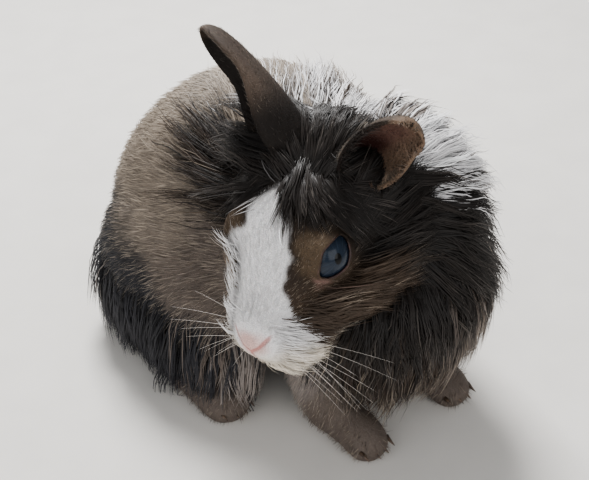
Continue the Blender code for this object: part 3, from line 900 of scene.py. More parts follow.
# Patches of the body and the mane, in the model's frame
PATCHES = (
    # back and flanks: ticked grey-brown, sooty in the middle of the side
    Patch((0.000, 0.060, 0.108), 0.042, Shade.TICKED),
    Patch((-0.042, 0.050, 0.088), 0.028, Shade.TICKED),
    Patch((-0.050, 0.024, 0.078), 0.022, Shade.TICKED),
    Patch((-0.024, 0.036, 0.106), 0.022, Shade.TICKED),
    Patch((0.045, 0.040, 0.085), 0.036, Shade.TICKED),
    Patch((0.000, 0.088, 0.060), 0.030, Shade.TICKED),
    Patch((-0.054, 0.004, 0.062), 0.018, Shade.GREY),
    Patch((-0.050, -0.010, 0.052), 0.013, Shade.GREY),
    Patch((-0.050, 0.062, 0.050), 0.024, Shade.SLATE),
    Patch((-0.062, 0.040, 0.030), 0.030, Shade.SLATE, 1.3),
    Patch((-0.062, 0.006, 0.022), 0.024, Shade.SLATE, 1.2),
    Patch((0.060, 0.030, 0.030), 0.036, Shade.SLATE),
    Patch((0.000, 0.080, 0.020), 0.030, Shade.SMOKE),
    # shoulders: dark wool that falls from the crown
    Patch((-0.034, 0.016, 0.097), 0.013, Shade.BLACK, 1.2),
    Patch((-0.041, -0.017, 0.113), 0.018, Shade.BLACK, 1.6),
    Patch((-0.036, 0.004, 0.092), 0.013, Shade.UMBER, 1.2),
    Patch((-0.021, -0.042, 0.128), 0.018, Shade.BLACK, 1.6),
    # nape: bright bundles with dark and smoky ones between
    Patch((0.004, 0.000, 0.112), 0.014, Shade.WHITE, 2.0),
    Patch((-0.016, 0.006, 0.108), 0.012, Shade.TICKED, 1.6),
    Patch((0.003, -0.020, 0.118), 0.013, Shade.WHITE, 2.0),
    Patch((-0.012, -0.018, 0.118), 0.012, Shade.WHITE, 1.8),
    Patch((0.004, -0.008, 0.115), 0.014, Shade.SMOKE, 1.5),
    Patch((0.010, -0.014, 0.116), 0.012, Shade.BROWN, 1.4),
    Patch((-0.010, -0.006, 0.114), 0.012, Shade.UMBER, 1.1),
    Patch((0.022, -0.006, 0.106), 0.018, Shade.GREY, 1.6),
    Patch((0.020, -0.026, 0.112), 0.015, Shade.UMBER, 2.0),
    Patch((0.016, -0.034, 0.114), 0.015, Shade.SMOKE, 1.0),
    Patch((0.024, -0.040, 0.108), 0.014, Shade.BLACK, 2.0),
    Patch((0.010, -0.056, 0.114), 0.012, Shade.WHITE, 2.6),
    Patch((0.018, -0.064, 0.104), 0.010, Shade.SMOKE, 1.4),
    Patch((0.024, -0.070, 0.088), 0.014, Shade.BLACK, 1.8),
    Patch((0.010, -0.074, 0.098), 0.008, Shade.BLACK, 1.4),
    Patch((0.016, -0.080, 0.082), 0.009, Shade.SMOKE, 1.8),
    Patch((0.016, -0.080, 0.080), 0.005, Shade.WHITE, 2.2),
    # the cheek's dark wool and the softer brown-grey chest below it
    Patch((-0.021, -0.073, 0.088), 0.018, Shade.BLACK, 1.6),
    Patch((-0.007, -0.078, 0.086), 0.018, Shade.BLACK, 1.6),
    Patch((-0.002, -0.084, 0.074), 0.013, Shade.BLACK, 1.4),
    Patch((0.014, -0.084, 0.060), 0.018, Shade.GREY, 1.6),
    Patch((0.022, -0.080, 0.052), 0.016, Shade.TICKED, 1.2),
    Patch((0.026, -0.074, 0.046), 0.022, Shade.GREY),
    Patch((0.036, -0.056, 0.070), 0.020, Shade.UMBER),
    Patch((-0.006, -0.084, 0.046), 0.018, Shade.BROWN),
    Patch((-0.024, -0.080, 0.058), 0.014, Shade.UMBER),
    # belly, feet and tail
    Patch((0.000, 0.010, 0.004), 0.050, Shade.SMOKE, 0.8),
    Patch((-0.022, -0.062, 0.006), 0.016, Shade.GREY, 1.5),
    Patch((0.022, -0.062, 0.006), 0.016, Shade.GREY, 1.5),
    Patch((-0.049, -0.006, 0.006), 0.018, Shade.GREY, 1.5),
    Patch((0.049, -0.006, 0.006), 0.018, Shade.GREY, 1.5),
    Patch((0.000, 0.100, 0.064), 0.014, Shade.BLACK, 1.5),
    Patch((0.000, 0.102, 0.048), 0.014, Shade.SMOKE, 1.2),
)


class Markings:
    """The coat's pattern, for the skin and for every tuft."""

    # Edges of the blaze: y in the head's frame, and the angles round the head from its top
    BLAZE_Y = (-0.0300, -0.0276, -0.0261, -0.0206, -0.0149, -0.0090, -0.0030, 0.0015)
    BLAZE_LEFT = (200, 83, 62, 42, 31, 20, 9, 1)
    BLAZE_RIGHT = (-200, -150, -105, -62, -45, -29, -24, -5)

    def __init__(self) -> None:
        """Reads the patches into arrays."""
        self.centres = np.array([patch.centre for patch in PATCHES])
        self.reaches = np.array([patch.reach for patch in PATCHES])
        self.strengths = np.array([patch.strength for patch in PATCHES])
        self.colours = np.array([TONE[patch.shade] for patch in PATCHES])

    def weights(self, points: np.ndarray) -> np.ndarray:
        """Share of every patch at each point."""
        away = np.linalg.norm(points[:, None] - self.centres[None], axis=2) / self.reaches
        weights = self.strengths * np.exp(-(away**2)) + 1e-12
        return weights / weights.sum(1, keepdims=True)

    def body(self, points: np.ndarray) -> np.ndarray:
        """Blended colour of the body at each point."""
        moved = points + 0.004 * np.column_stack([ripple(points, 0.03, seed) for seed in (1, 2, 3)])
        weights = self.weights(moved) ** 3
        return (weights / weights.sum(1, keepdims=True)) @ self.colours

    def bundles(self, points: np.ndarray, rng: np.random.Generator) -> np.ndarray:
        """Colour of whole locks, each drawn from one of the patches round it.

        Args:
            points: the locks' roots.
            rng: seeded generator.

        Returns:
            Linear RGB for each lock.
        """
        shares = self.weights(points) ** 1.6
        shares /= shares.sum(1, keepdims=True)
        drawn = (np.cumsum(shares, 1) < rng.random(len(points))[:, None]).sum(1)
        return self.colours[np.minimum(drawn, len(self.colours) - 1)]

    @staticmethod
    def tips(colours: np.ndarray, ticked: float, rng: np.random.Generator) -> np.ndarray:
        """Colour of the hairs' tips: some of the brown ones are pale, some dark; some dark ones get grey
        tips, a painted highlight.

        Args:
            colours: linear RGB of every hair.
            ticked: share of the hairs whose tips are pale; on dark hairs that pale tip is a painted
                highlight.
            rng: seeded generator.

        Returns:
            Linear RGB for each tip.
        """
        light = colours.mean(1)
        brown = soft(light, 0.012, 0.035) * (1 - soft(light, 0.25, 0.45))
        draw = rng.random(len(colours))
        pale = mix(colours, TONE[Shade.TICK], 0.7 * brown * (draw < ticked))
        # painted highlight: some dark hairs get grey tips that stand for glints of light on the black wool
        dark = 1 - soft(light, 0.012, 0.035)
        pale = mix(pale, TONE[Shade.SMOKE], 0.4 * dark * (draw < ticked))
        return mix(pale, TONE[Shade.BLACK], 0.5 * brown * (draw > 1 - 0.6 * ticked))

    def head(self, points: np.ndarray) -> np.ndarray:
        """Colour of the head at each point.

        Args:
            points: places in the model's frame.

        Returns:
            Linear RGB for each point.
        """
        q = to_head(points)
        q = q + 0.0012 * np.column_stack([ripple(points, 0.009, seed) for seed in (4, 5, 6)])
        x, y, z = q.T
        angle = np.degrees(np.arctan2(x, z))
        colour = np.tile(TONE[Shade.UMBER], (len(q), 1))
        # cheeks: warm brown before and below the eye
        cheek = soft(-z, -0.012, 0.002) * soft(-y, -0.006, 0.006) * soft(z, -0.026, -0.012)
        colour = mix(colour, TONE[Shade.BROWN], cheek)
        # black behind the eye, over the brow and round the ears
        colour = mix(colour, TONE[Shade.BLACK], soft(y, -0.008, 0.000) * soft(z, -0.020, -0.008))
        colour = mix(colour, TONE[Shade.BLACK], 0.9 * soft(y, -0.009, -0.002) * soft(z, 0.015, 0.021))
        # the ticked patch behind the left ear
        colour = mix(colour, TONE[Shade.TICKED], crown_patch(q))
        # the right cheek: dark by the top of the blaze, fawn below, rusty where it meets the white
        right = soft(-x, 0.004, 0.010) * soft(-z, -0.013, -0.003)
        colour = mix(colour, TONE[Shade.FAWN], 0.9 * right * soft(-y, -0.010, 0.002))
        colour = mix(colour, TONE[Shade.RUST], 0.7 * right * soft(-y, 0.014, 0.020))
        # tan ring round each eye, strongest above it and in front
        for sign in (1, -1):
            offset = q - np.array((sign * 0.0205, -0.0108, 0.0105))
            away = np.linalg.norm(offset, axis=1)
            upper = soft(offset[:, 2] - 0.6 * offset[:, 1], -0.003, 0.007)
            ring = soft(-away, -0.0122, -0.0088) * (0.10 + 0.90 * upper)
            colour = mix(colour, TONE[Shade.TAN], (0.5 if sign > 0 else 0.3) * ring)
            corner = np.linalg.norm(q - np.array((sign * 0.0185, -0.0170, 0.0050)), axis=1)
            colour = mix(colour, TONE[Shade.PINK], 0.3 * soft(-corner, -0.0034, -0.0012))
        # blaze and muzzle, creamier under the jaw
        left = np.interp(y, self.BLAZE_Y, self.BLAZE_LEFT)
        right_edge = np.interp(y, self.BLAZE_Y, self.BLAZE_RIGHT)
        blaze = soft(left - angle, -4, 4) * soft(angle - right_edge, -4, 4) * soft(-y, -0.003, 0.001)
        jaw = soft(np.abs(angle), 135, 155) * soft(-y, 0.018, 0.027)
        white = mix(TONE[Shade.WHITE][None], TONE[Shade.CREAM][None], 0.9 * soft(-z, 0.003, 0.015))
        colour = mix(colour, white, np.clip(np.maximum(blaze, jaw), 0, 1))
        # short pink hair of the nose
        nose = np.linalg.norm((q - NOSE_PAD) * (1.0, 1.0, 1.25), axis=1)
        colour = mix(colour, TONE[Shade.PINK], 0.85 * soft(-nose, -0.0085, -0.003))
        slits = np.zeros(len(q))
        for groove in GROOVES[:3]:
            flat = Groove(tuple((px, 0.0, pz) for px, _, pz in groove.points), groove.reach, 1.0)
            slits = np.maximum(slits, flat.press(to_head(points) * (1.0, 0.0, 1.0)))
        return mix(colour, TONE[Shade.ROSE], 0.65 * soft(slits, 0.35, 0.90) * soft(-y, 0.030, 0.034))

    def ear(self, points: np.ndarray, normals: np.ndarray, ear: Ear) -> np.ndarray:
        """Colour of an ear: bare skin in the cup with painted shade at its bottom and on one inner wall, dark
        rims and a greyish back.

        Args:
            points: places on the ear in the model's frame.
            normals: unit normals there.
            ear: the ear.

        Returns:
            Linear RGB for each point.
        """
        x, _, z = ear.local(points).T
        facing = ear.facing_back(normals)
        back = mix(TONE[ear.nape][None], TONE[Shade.EAR_BACK][None], 0.9 * soft(z, 0.006, 0.020))
        # the cup: red at its bottom and darker there as painted shade deep in the cup, paler hair towards its
        # edges
        cup = mix(TONE[Shade.EAR_DEEP][None], TONE[Shade.EAR_SKIN][None], soft(z, 0.010, 0.021))
        cup = mix(cup, TONE[Shade.EAR_HAIR], 0.8 * np.maximum(soft(x, 0.002, 0.008), soft(z, 0.026, 0.038)))
        # painted shade: one inner wall of the cup turns black, as it lies in shadow
        cup = mix(cup, TONE[Shade.BLACK], 0.9 * soft(-x, 0.0045, 0.0070))
        if ear.region is Region.EAR_RIGHT:
            dark = np.maximum(soft(-x, 0.000, 0.005), soft(-z, -0.020, -0.008))
            cup = mix(TONE[Shade.EAR_BACK][None], TONE[Shade.BLACK][None], dark)
        colour = mix(back, cup, soft(-facing, -0.1, 0.35))
        rim = soft(np.abs(x), 0.0085, 0.0108) * soft(z, 0.010, 0.020)
        colour = mix(colour, TONE[Shade.BLACK], 0.85 * rim * (x < 0))
        pale = 0.6 if ear.region is Region.EAR_LEFT else 0.2
        return mix(colour, TONE[Shade.EAR_HAIR], pale * np.maximum(rim * (x > 0), soft(z, 0.0405, 0.0435)))

    def all_over(self, points: np.ndarray, normals: np.ndarray, regions: np.ndarray) -> np.ndarray:
        """Colour of skin and short coat at each point.

        Args:
            points: places in the model's frame.
            normals: unit normals there.
            regions: region values there.

        Returns:
            Linear RGB for each point.
        """
        colour = self.body(points)
        head = regions == Region.HEAD.value
        colour[head] = self.head(points[head])
        for ear in EARS:
            on = regions == ear.region.value
            if on.any():
                colour[on] = self.ear(points[on], normals[on], ear)
        return colour


# ---------------------------------------------------------------- coat


class Place(Enum):
    """Places that a kind of coat keeps to within its regions."""

    ALL = "all of its regions"
    FACE = "all of the face but the nose, thickest near it"
    MUZZLE = "lip pads and chin"
    RIGHT_CHEEK = "right cheek, clear of the eye"
    JOWL = "left edge of the jaw"
    BROW = "brow before the ears, but for the parting"
    RIGHT_SHOULDER = "right side of the crown"
    CHEEK = "sides of the head behind the eyes"
    CROWN = "top of the head, but for the ticked patch"
    NAPE = "top of the neck and the shoulders"
    SKIRT = "lower half of the thighs"
    FRINGE = "edges of the ear's cup"


class Lie(Enum):
    """Ways that the coat lies."""

    BODY = "back along the body"
    FACE = "away from the nose"
    LIPS = "out and down from the lip pads and the chin"
    CHEEK = "away from the face"
    MANE = "outwards from between the ears"
    FORELOCK = "from the parting, forwards and out over the brow"
    JOWL = "back and out over the jaw"
    SHOULDER = "from the crown back over the right shoulder"
    EAR = "to the tip of the ear"
    FRINGE = "across the cup of the ear"
    TAIL = "out along the tail"
    DOWN = "down and outwards"


def lie_ways(lie: Lie, points: np.ndarray, normals: np.ndarray, regions: np.ndarray) -> np.ndarray:
    """Direction in which the coat lies at each point, before it is bent along the skin.

    Args:
        lie: the way of lying.
        points: places in the model's frame.
        normals: unit normals there.
        regions: region values there.

    Returns:
        Vectors in the model's frame.
    """
    q = to_head(points)
    if lie is Lie.FACE:
        return from_head(unit(q - np.array((0.0, -0.052, -0.004))))
    if lie is Lie.LIPS:
        return from_head(columns(np.clip(q[:, 0] / 0.006, -1, 1) * 0.9, 0.45, -0.65))
    if lie is Lie.MANE:
        return from_head(unit(q - np.array((0.008, 0.004, 0.020))) + np.array((0.0, 0.15, 0.0)))
    if lie is Lie.CHEEK:
        away = unit(q - np.array((0.0, -0.020, 0.0)))
        away[:, 1] = np.abs(away[:, 1]) * 0.6 + 0.25
        return from_head(away)
    if lie is Lie.FORELOCK:
        outer = np.clip(q[:, 0] / 0.014, 0, 1)
        left = mix(np.array((0.15, -1.0, -0.2)), np.array((0.80, -0.15, -0.6)), outer)
        right = np.array((-0.8, -0.6, -0.1))
        return from_head(np.where(q[:, :1] > 0, left, right))
    if lie is Lie.JOWL:
        return from_head(columns(0.55, 1.0 - 0.2 * np.sign(q[:, 1]), -0.45))
    if lie is Lie.SHOULDER:
        return from_head(columns(-1.0, 0.10 + 14 * (q[:, 1] - 0.010), -0.05))
    if lie is Lie.EAR or lie is Lie.FRINGE:
        ways = np.zeros_like(points)
        for ear in EARS:
            turn = np.array(ear.place().to_3x3())
            on = regions == ear.region.value
            if lie is Lie.FRINGE:
                local = ear.local(points[on])
                ways[on] = columns(-np.sign(local[:, 0]) * 0.9, -0.3, 0.9) @ turn.T
            else:
                ways[on] = turn[:, 2]
        return ways
    if lie is Lie.TAIL:
        return np.tile(np.array(TAIL_FRAME.to_3x3() @ Vector((0, 1, 0))), (len(points), 1))
    if lie is Lie.DOWN:
        return normals * (0.35, 0.35, 0.0) - UP
    back = columns(0.25 * np.sign(points[:, 0]), 1.0, -0.25)
    low = soft(-points[:, 2], -0.075, -0.025)
    return mix(back, np.array((0.0, 0.35, -1.0)) + normals * (0.2, 0.2, 0), low)


@dataclass(frozen=True)
class Wool:
    """One kind of coat: where it grows and how its tufts are cut.

    Lengths are in metres; the stand is how far a tuft leaves the skin before it lies down, the
    layer is how high its tip lies over the skin, and the pull is how far its lock draws it in.
    """

    name: str
    slot: str
    regions: tuple
    lie: Lie
    count: int
    guides: int
    length: float
    width: float
    rings: int
    stand: float
    layer: float
    droop: float = 0.0
    pull: float = 0.2
    sway: float = 0.25
    stray: float = 0.06
    wave: float = 0.0
    bundled: bool = False
    where: Place = Place.ALL
    # share of the hairs whose tips are pale (on dark hairs a painted highlight), and how much one lock is
    # brighter than another
    ticked: float = 0.0
    varied: float = 0.10
    profile: tuple = (0.85, 1.0, 0.0)


def density_of(wool: Wool, skin: Skin) -> np.ndarray:
    """How thick a kind of coat grows at each point of the skin.

    Args:
        wool: the kind of coat.
        skin: the skin.

    Returns:
        Densities from 0 up, one for each skin point.
    """
    inside = np.isin(skin.regions, [region.value for region in wool.regions]).astype(float)
    inside[skin.bare] = 0.0
    q = to_head(skin.points)
    x, y, z = q.T
    aside, behind, up = skin.points.T
    nose = np.linalg.norm(q - NOSE_TIP, axis=1)
    if wool.where is Place.FACE:
        inside *= soft(nose, 0.0050, 0.0080) * (1 + 1.5 * soft(-nose, -0.022, -0.010))
    elif wool.where is Place.MUZZLE:
        inside *= soft(-y, 0.010, 0.022) * soft(-z, -0.004, 0.008)
        inside *= soft(nose, 0.0085, 0.0125)
    elif wool.where is Place.RIGHT_CHEEK:
        inside *= soft(-x, 0.006, 0.013) * soft(-y, -0.008, 0.002) * soft(-z, -0.014, -0.004)
        away = np.linalg.norm(q - np.array((-EYE_AT[0] - 0.007, EYE_AT[1], EYE_AT[2])), axis=1)
        inside *= soft(away, 0.008, 0.012)
    elif wool.where is Place.JOWL:
        inside *= soft(x, 0.004, 0.012) * soft(-z, -0.004, 0.006)
        inside *= soft(-y, -0.018, -0.008) * soft(y, -0.028, -0.018)
    elif wool.where is Place.BROW:
        parting = np.exp(-(((x + 0.0015) / 0.0032) ** 2))
        inside *= np.exp(-((y - 0.006) / 0.0050) ** 2) * soft(z, 0.014, 0.020)
        inside *= (0.3 + 0.7 * soft(x, -0.002, 0.004)) * (1 - parting)
    elif wool.where is Place.RIGHT_SHOULDER:
        inside *= soft(-x, -0.002, 0.006) * soft(y, -0.002, 0.006) * soft(z, 0.002, 0.010)
    elif wool.where is Place.CHEEK:
        inside *= soft(y, 0.000, 0.010) * soft(np.abs(x) - 0.6 * z, 0.006, 0.016)
    elif wool.where is Place.CROWN:
        inside *= soft(y, 0.000, 0.008) * soft(z, 0.006, 0.016)
        inside *= 1 - crown_patch(q)
    elif wool.where is Place.NAPE:
        inside *= soft(-behind, -0.018, 0.004) * soft(up, 0.080, 0.095)
        inside *= soft(-np.abs(aside), -0.048, -0.034)
    elif wool.where is Place.SKIRT:
        inside *= soft(-up, -0.050, -0.036) * soft(up, 0.010, 0.016)
        inside *= soft(np.abs(aside), 0.030, 0.045)
    elif wool.where is Place.FRINGE:
        for ear in EARS:
            local = ear.local(skin.points)
            on = skin.regions == ear.region.value
            edge = soft(-ear.facing_back(skin.normals), -0.2, 0.2) * soft(np.abs(local[:, 0]), 0.0055, 0.0085)
            inside[on] *= (edge * soft(-local[:, 2], -0.036, -0.028))[on]
    return inside


class Coat:
    """Grows the tufts of every kind of coat over the skin."""

    # length of one wave of the long wool
    WAVE = 0.017
    # how far a hair's light follows its own roundness sideways, the rest following the coat
    ROUNDNESS = 0.6
    # least heights of a lock over the skin and over the floor
    SKIN_GAP = 0.0004
    FLOOR_GAP = 0.0008
    # share of the way down to its layer that a lock takes at each step
    SETTLING = 0.85
    # how deep in the skin a tuft starts, at most and as a share of its length
    ROOT_DEPTH = 0.0012
    ROOT_SHARE = 0.2
    # what is left of a tuft that would cross an eye
    TRIMMED = 0.4
    # where along a hair the pattern is read, and the share of tufts that differ from their lock
    READ_AT = 0.6
    LOOSE = 0.35
    # half sizes of the window before each eye that the tufts keep out of
    WINDOW = (0.0078, 0.0056)

    def __init__(self, skin: Skin, markings: Markings, shift: Vector) -> None:
        """Keeps what every piece of coat needs.

        Args:
            skin: the skin that the coat grows from.
            markings: the coat's pattern.
            shift: move from the named sizes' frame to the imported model.
        """
        self.skin = skin
        self.markings = markings
        self.shift = shift

    def guides(self, wool: Wool, rng: np.random.Generator) -> tuple:
        """Paths of the locks that the tufts follow.

        Args:
            wool: the kind of coat.
            rng: seeded generator.

        Returns:
            Roots, and paths with one more point than the tufts have rings.
        """
        density = density_of(wool, self.skin)
        roots, normals, nearest = self.skin.scatter(density, wool.guides, rng)
        regions = self.skin.regions[nearest]
        lie = along_surface(lie_ways(wool.lie, roots, normals, regions), normals)
        aside = np.cross(normals, lie)
        lie = unit(lie + aside * rng.uniform(-wool.sway, wool.sway, (len(roots), 1)))
        lengths = wool.length * rng.uniform(0.8, 1.15, (len(roots), 1))
        stand = wool.stand * rng.uniform(0.6, 1.25, (len(roots), 1))
        layers = wool.layer * rng.uniform(0.6, 1.2, len(roots))
        paths = [roots]
        here = roots
        for step in range(wool.rings):
            t = step / max(1, wool.rings - 1)
            sag = wool.droop * t * (1 - np.maximum(0, normals[:, 2:]))
            heading = normals * stand * (1 - t) + lie - UP * sag
            here = self.settle(here + unit(heading) * lengths / wool.rings, layers * (0.45 + 0.55 * t))
            paths.append(here)
        paths = np.stack(paths, 1)
        paths[:, 1:-1] = (paths[:, :-2] + 2 * paths[:, 1:-1] + paths[:, 2:]) / 4
        t = np.linspace(0, 1, wool.rings + 1)[None, :, None]
        turn = rng.uniform(0, 2 * math.pi, (len(roots), 1, 1))
        waves = np.sin(turn + t * lengths[:, None] * (2 * math.pi / self.WAVE)) * wool.wave * t
        return roots, paths + unit(aside)[:, None] * waves

    def settle(self, points: np.ndarray, layers: np.ndarray) -> np.ndarray:
        """Draws points down to their layer over the skin, and out of it.

        Args:
            points: points of the locks.
            layers: height over the skin that each may keep.

        Returns:
            The points, moved.
        """
        moved = points.copy()
        for i, point in enumerate(points.tolist()):
            place, normal, _, _ = self.skin.tree.find_nearest(point)
            offset = Vector(point) - place
            height = offset.dot(normal)
            wanted = min(max(height, self.SKIN_GAP), layers[i])
            moved[i] += (wanted - height) * self.SETTLING * np.array(normal)
        moved[:, 2] = np.maximum(moved[:, 2], self.FLOOR_GAP)
        return moved

    def grow(self, wool: Wool, seed: int) -> bpy.types.Object:
        """Builds one kind of coat as a mesh.

        Args:
            wool: the kind of coat.
            seed: seed of this piece's draws.

        Returns:
            The coat's object.
        """
        rng = np.random.default_rng(seed)
        guide_roots, guides = self.guides(wool, rng)
        roots, normals, nearest = self.skin.scatter(density_of(wool, self.skin), wool.count, rng)
        tree = KDTree(len(guide_roots))
        for i, root in enumerate(guide_roots):
            tree.insert(root, i)
        tree.balance()
        index = np.array([tree.find(root)[1] for root in roots])
        t = np.linspace(0, 1, wool.rings + 1)[None, :, None]
        reach = rng.uniform(0.75, 1.08, (len(roots), 1, 1))
        travel = (guides[index] - guide_roots[index][:, None]) * reach
        apart = (roots - guide_roots[index])[:, None]
        pull = wool.pull * rng.uniform(0.5, 1.2, (len(roots), 1, 1))
        wander = unit(rng.normal(size=(len(roots), 1, 3))) * wool.length * wool.stray
        paths = roots[:, None] + travel - apart * pull * t**1.4 + wander * t**1.5
        paths[:, 0] -= normals * min(self.ROOT_DEPTH, self.ROOT_SHARE * wool.length)
        paths[:, :, 2] = np.maximum(paths[:, :, 2], self.SKIN_GAP)
        # those that would cross an eye are short, or left out
        covering = self.over_eyes(paths)
        paths[covering] = paths[covering, :1] + self.TRIMMED * (paths[covering] - paths[covering, :1])
        kept = ~self.over_eyes(paths)
        roots, normals, nearest, index = roots[kept], normals[kept], nearest[kept], index[kept]
        paths, travel = paths[kept], travel[kept]
        regions = self.skin.regions[nearest]
        # the pattern is read past the middle of the hair, where it shows, and of a lock at its root
        read = roots + self.READ_AT * travel[:, -1] * (not wool.bundled)
        colours = self.markings.all_over(read, normals, regions)
        if wool.bundled:
            locks = self.markings.bundles(guide_roots, rng)[index]
            loose = rng.random(len(roots)) < self.LOOSE
            locks[loose] = self.markings.bundles(roots[loose], rng)
            front = to_head(roots)[:, 1] < rng.uniform(0.016, 0.024, len(roots))
            own = (regions == Region.HEAD.value) & front
            locks[own] = colours[own]
            colours = locks
        colours = colours * rng.uniform(1 - wool.varied, 1 + wool.varied, (len(guide_roots), 1))[index]
        colours = colours * rng.uniform(0.92, 1.08, (len(roots), 1))
        return self.tufts(wool, paths, normals, colours, self.markings.tips(colours, wool.ticked, rng), rng)

    def over_eyes(self, paths: np.ndarray) -> np.ndarray:
        """Which tufts cross an opening between the lids.

        Args:
            paths: points along every tuft, root to tip.

        Returns:
            True for every tuft that does.
        """
        crossing = np.zeros(len(paths), bool)
        for sign in (1, -1):
            back = np.array(lid_frame(sign).inverted())
            local = paths @ back[:3, :3].T + back[:3, 3]
            inside = (local[:, :, 0] / self.WINDOW[0]) ** 2 + (local[:, :, 1] / self.WINDOW[1]) ** 2 < 1
            crossing |= (inside & (local[:, :, 2] > 0)).any(1)
        return crossing

    def tufts(
        self, wool: Wool, paths: np.ndarray, normals: np.ndarray, colours: np.ndarray, tips: np.ndarray,
        rng: np.random.Generator,
    ) -> bpy.types.Object:
        """Closed three-sided tapered tufts along the paths, as one mesh.

        Args:
            wool: the kind of coat.
            paths: points along every tuft, root to tip.
            normals: the skin's normals at the roots.
            colours: linear RGB of every tuft's root.
            tips: linear RGB of every tuft's tip.
            rng: seeded generator.

        Returns:
            The tufts' object.
        """
        count, rings = len(paths), wool.rings
        along = unit(np.concatenate((paths[:, 1:2] - paths[:, :1], paths[:, 2:] - paths[:, :-2]), 1))
        across = unit(np.cross(along, normals[:, None]))
        rise = np.cross(across, along)
        profile = np.interp(np.arange(rings) / rings, np.linspace(0, 1, len(wool.profile)), wool.profile)
        half = (wool.width / 2 * rng.uniform(0.75, 1.25, (count, 1)) * profile)[:, :, None]
        low = paths[:, :-1] - rise * half * 0.35
        rows = np.stack((low - across * half, low + across * half, paths[:, :-1] + rise * half * 0.6), 2)
        points = np.concatenate((rows.reshape(count, rings * 3, 3), paths[:, -1:]), 1)
        edges = across * self.ROUNDNESS
        lit = np.stack((rise - edges, rise + edges, rise), 2).reshape(count, rings * 3, 3)
        lit = unit(np.concatenate((lit, rise[:, -1:]), 1))
        faces = []
        for ring in range(rings - 1):
            for c in range(3):
                d = (c + 1) % 3
                faces.append((ring * 3 + c, ring * 3 + 3 + c, ring * 3 + 3 + d, ring * 3 + d))
        last = (rings - 1) * 3
        faces += [(last + c, rings * 3, last + (c + 1) % 3) for c in range(3)] + [(0, 1, 2)]
        levels = np.append(np.repeat(np.arange(rings) / rings, 3), 1.0)
        sides = np.append(np.tile((-0.5, 0.5, 0.0), rings), 0.0)
        corner = np.concatenate([np.array(face) for face in faces])
        starts = np.cumsum([0] + [len(face) for face in faces[:-1]])
        mesh = bpy.data.meshes.new(wool.name)
        size = points.shape[1]
        mesh.vertices.add(count * size)
        mesh.vertices.foreach_set("co", (points + np.array(self.shift)).astype(np.float32).ravel())
        mesh.loops.add(count * len(corner))
        first = np.arange(count)[:, None]
        mesh.loops.foreach_set("vertex_index", (corner[None] + first * size).astype(np.int32).ravel())
        mesh.polygons.add(count * len(faces))
        mesh.polygons.foreach_set("loop_start", (starts[None] + first * len(corner)).astype(np.int32).ravel())
        mesh.update(calc_edges=True)
        mesh.shade_smooth()
        mesh.normals_split_custom_set_from_vertices(lit.reshape(-1, 3))
        self.bake_map(mesh, paths[:, 0], sides[corner], levels[corner])
        tints = mix(colours[:, None], tips[:, None], soft(levels, 0.35, 0.95)[None])
        shaded = np.concatenate((np.clip(tints, 0, 1), np.ones((count, size, 1))), 2)
        put_attribute(mesh, "coat", "FLOAT_COLOR", shaded)
        put_attribute(mesh, "along", "FLOAT", np.tile(levels, count))
        return new_object(wool.name, mesh)

    @staticmethod
    def bake_map(mesh: bpy.types.Mesh, roots: np.ndarray, sides: np.ndarray, levels: np.ndarray) -> None:
        """Gives every tuft a small patch at its root's place on the skin, unrolled round its length.

        Args:
            mesh: the tufts' mesh.
            roots: every tuft's root.
            sides: place across a tuft of each corner of one tuft's faces.
            levels: place along a tuft of the same corners.
        """
        centre = (roots.min(0) + roots.max(0)) / 2
        local = roots - centre
        span = roots.max(0) - roots.min(0)
        axis = int(np.argmax(span))
        one, two = [k for k in range(3) if k != axis]
        u = 0.5 + np.arctan2(local[:, one], local[:, two]) / (2 * math.pi)
        v = (roots[:, axis] - roots[:, axis].min()) / span[axis]
        edge = 2 * BAKE_PATCH
        place = np.column_stack((edge + u * (1 - 2 * edge), edge + v * (1 - 2 * edge)))
        patch = np.column_stack((sides, levels - 0.5)) * BAKE_PATCH
        layer = mesh.uv_layers.new(name=BAKE_MAP)
        layer.data.foreach_set("uv", (place[:, None] + patch[None]).astype(np.float32).ravel())


def put_attribute(mesh: bpy.types.Mesh, name: str, kind: str, values: np.ndarray) -> None:
    """Stores one value or colour for each point of a mesh."""
    data = mesh.attributes.new(name, kind, "POINT").data
    data.foreach_set("color" if kind == "FLOAT_COLOR" else "value", values.astype(np.float32).ravel())


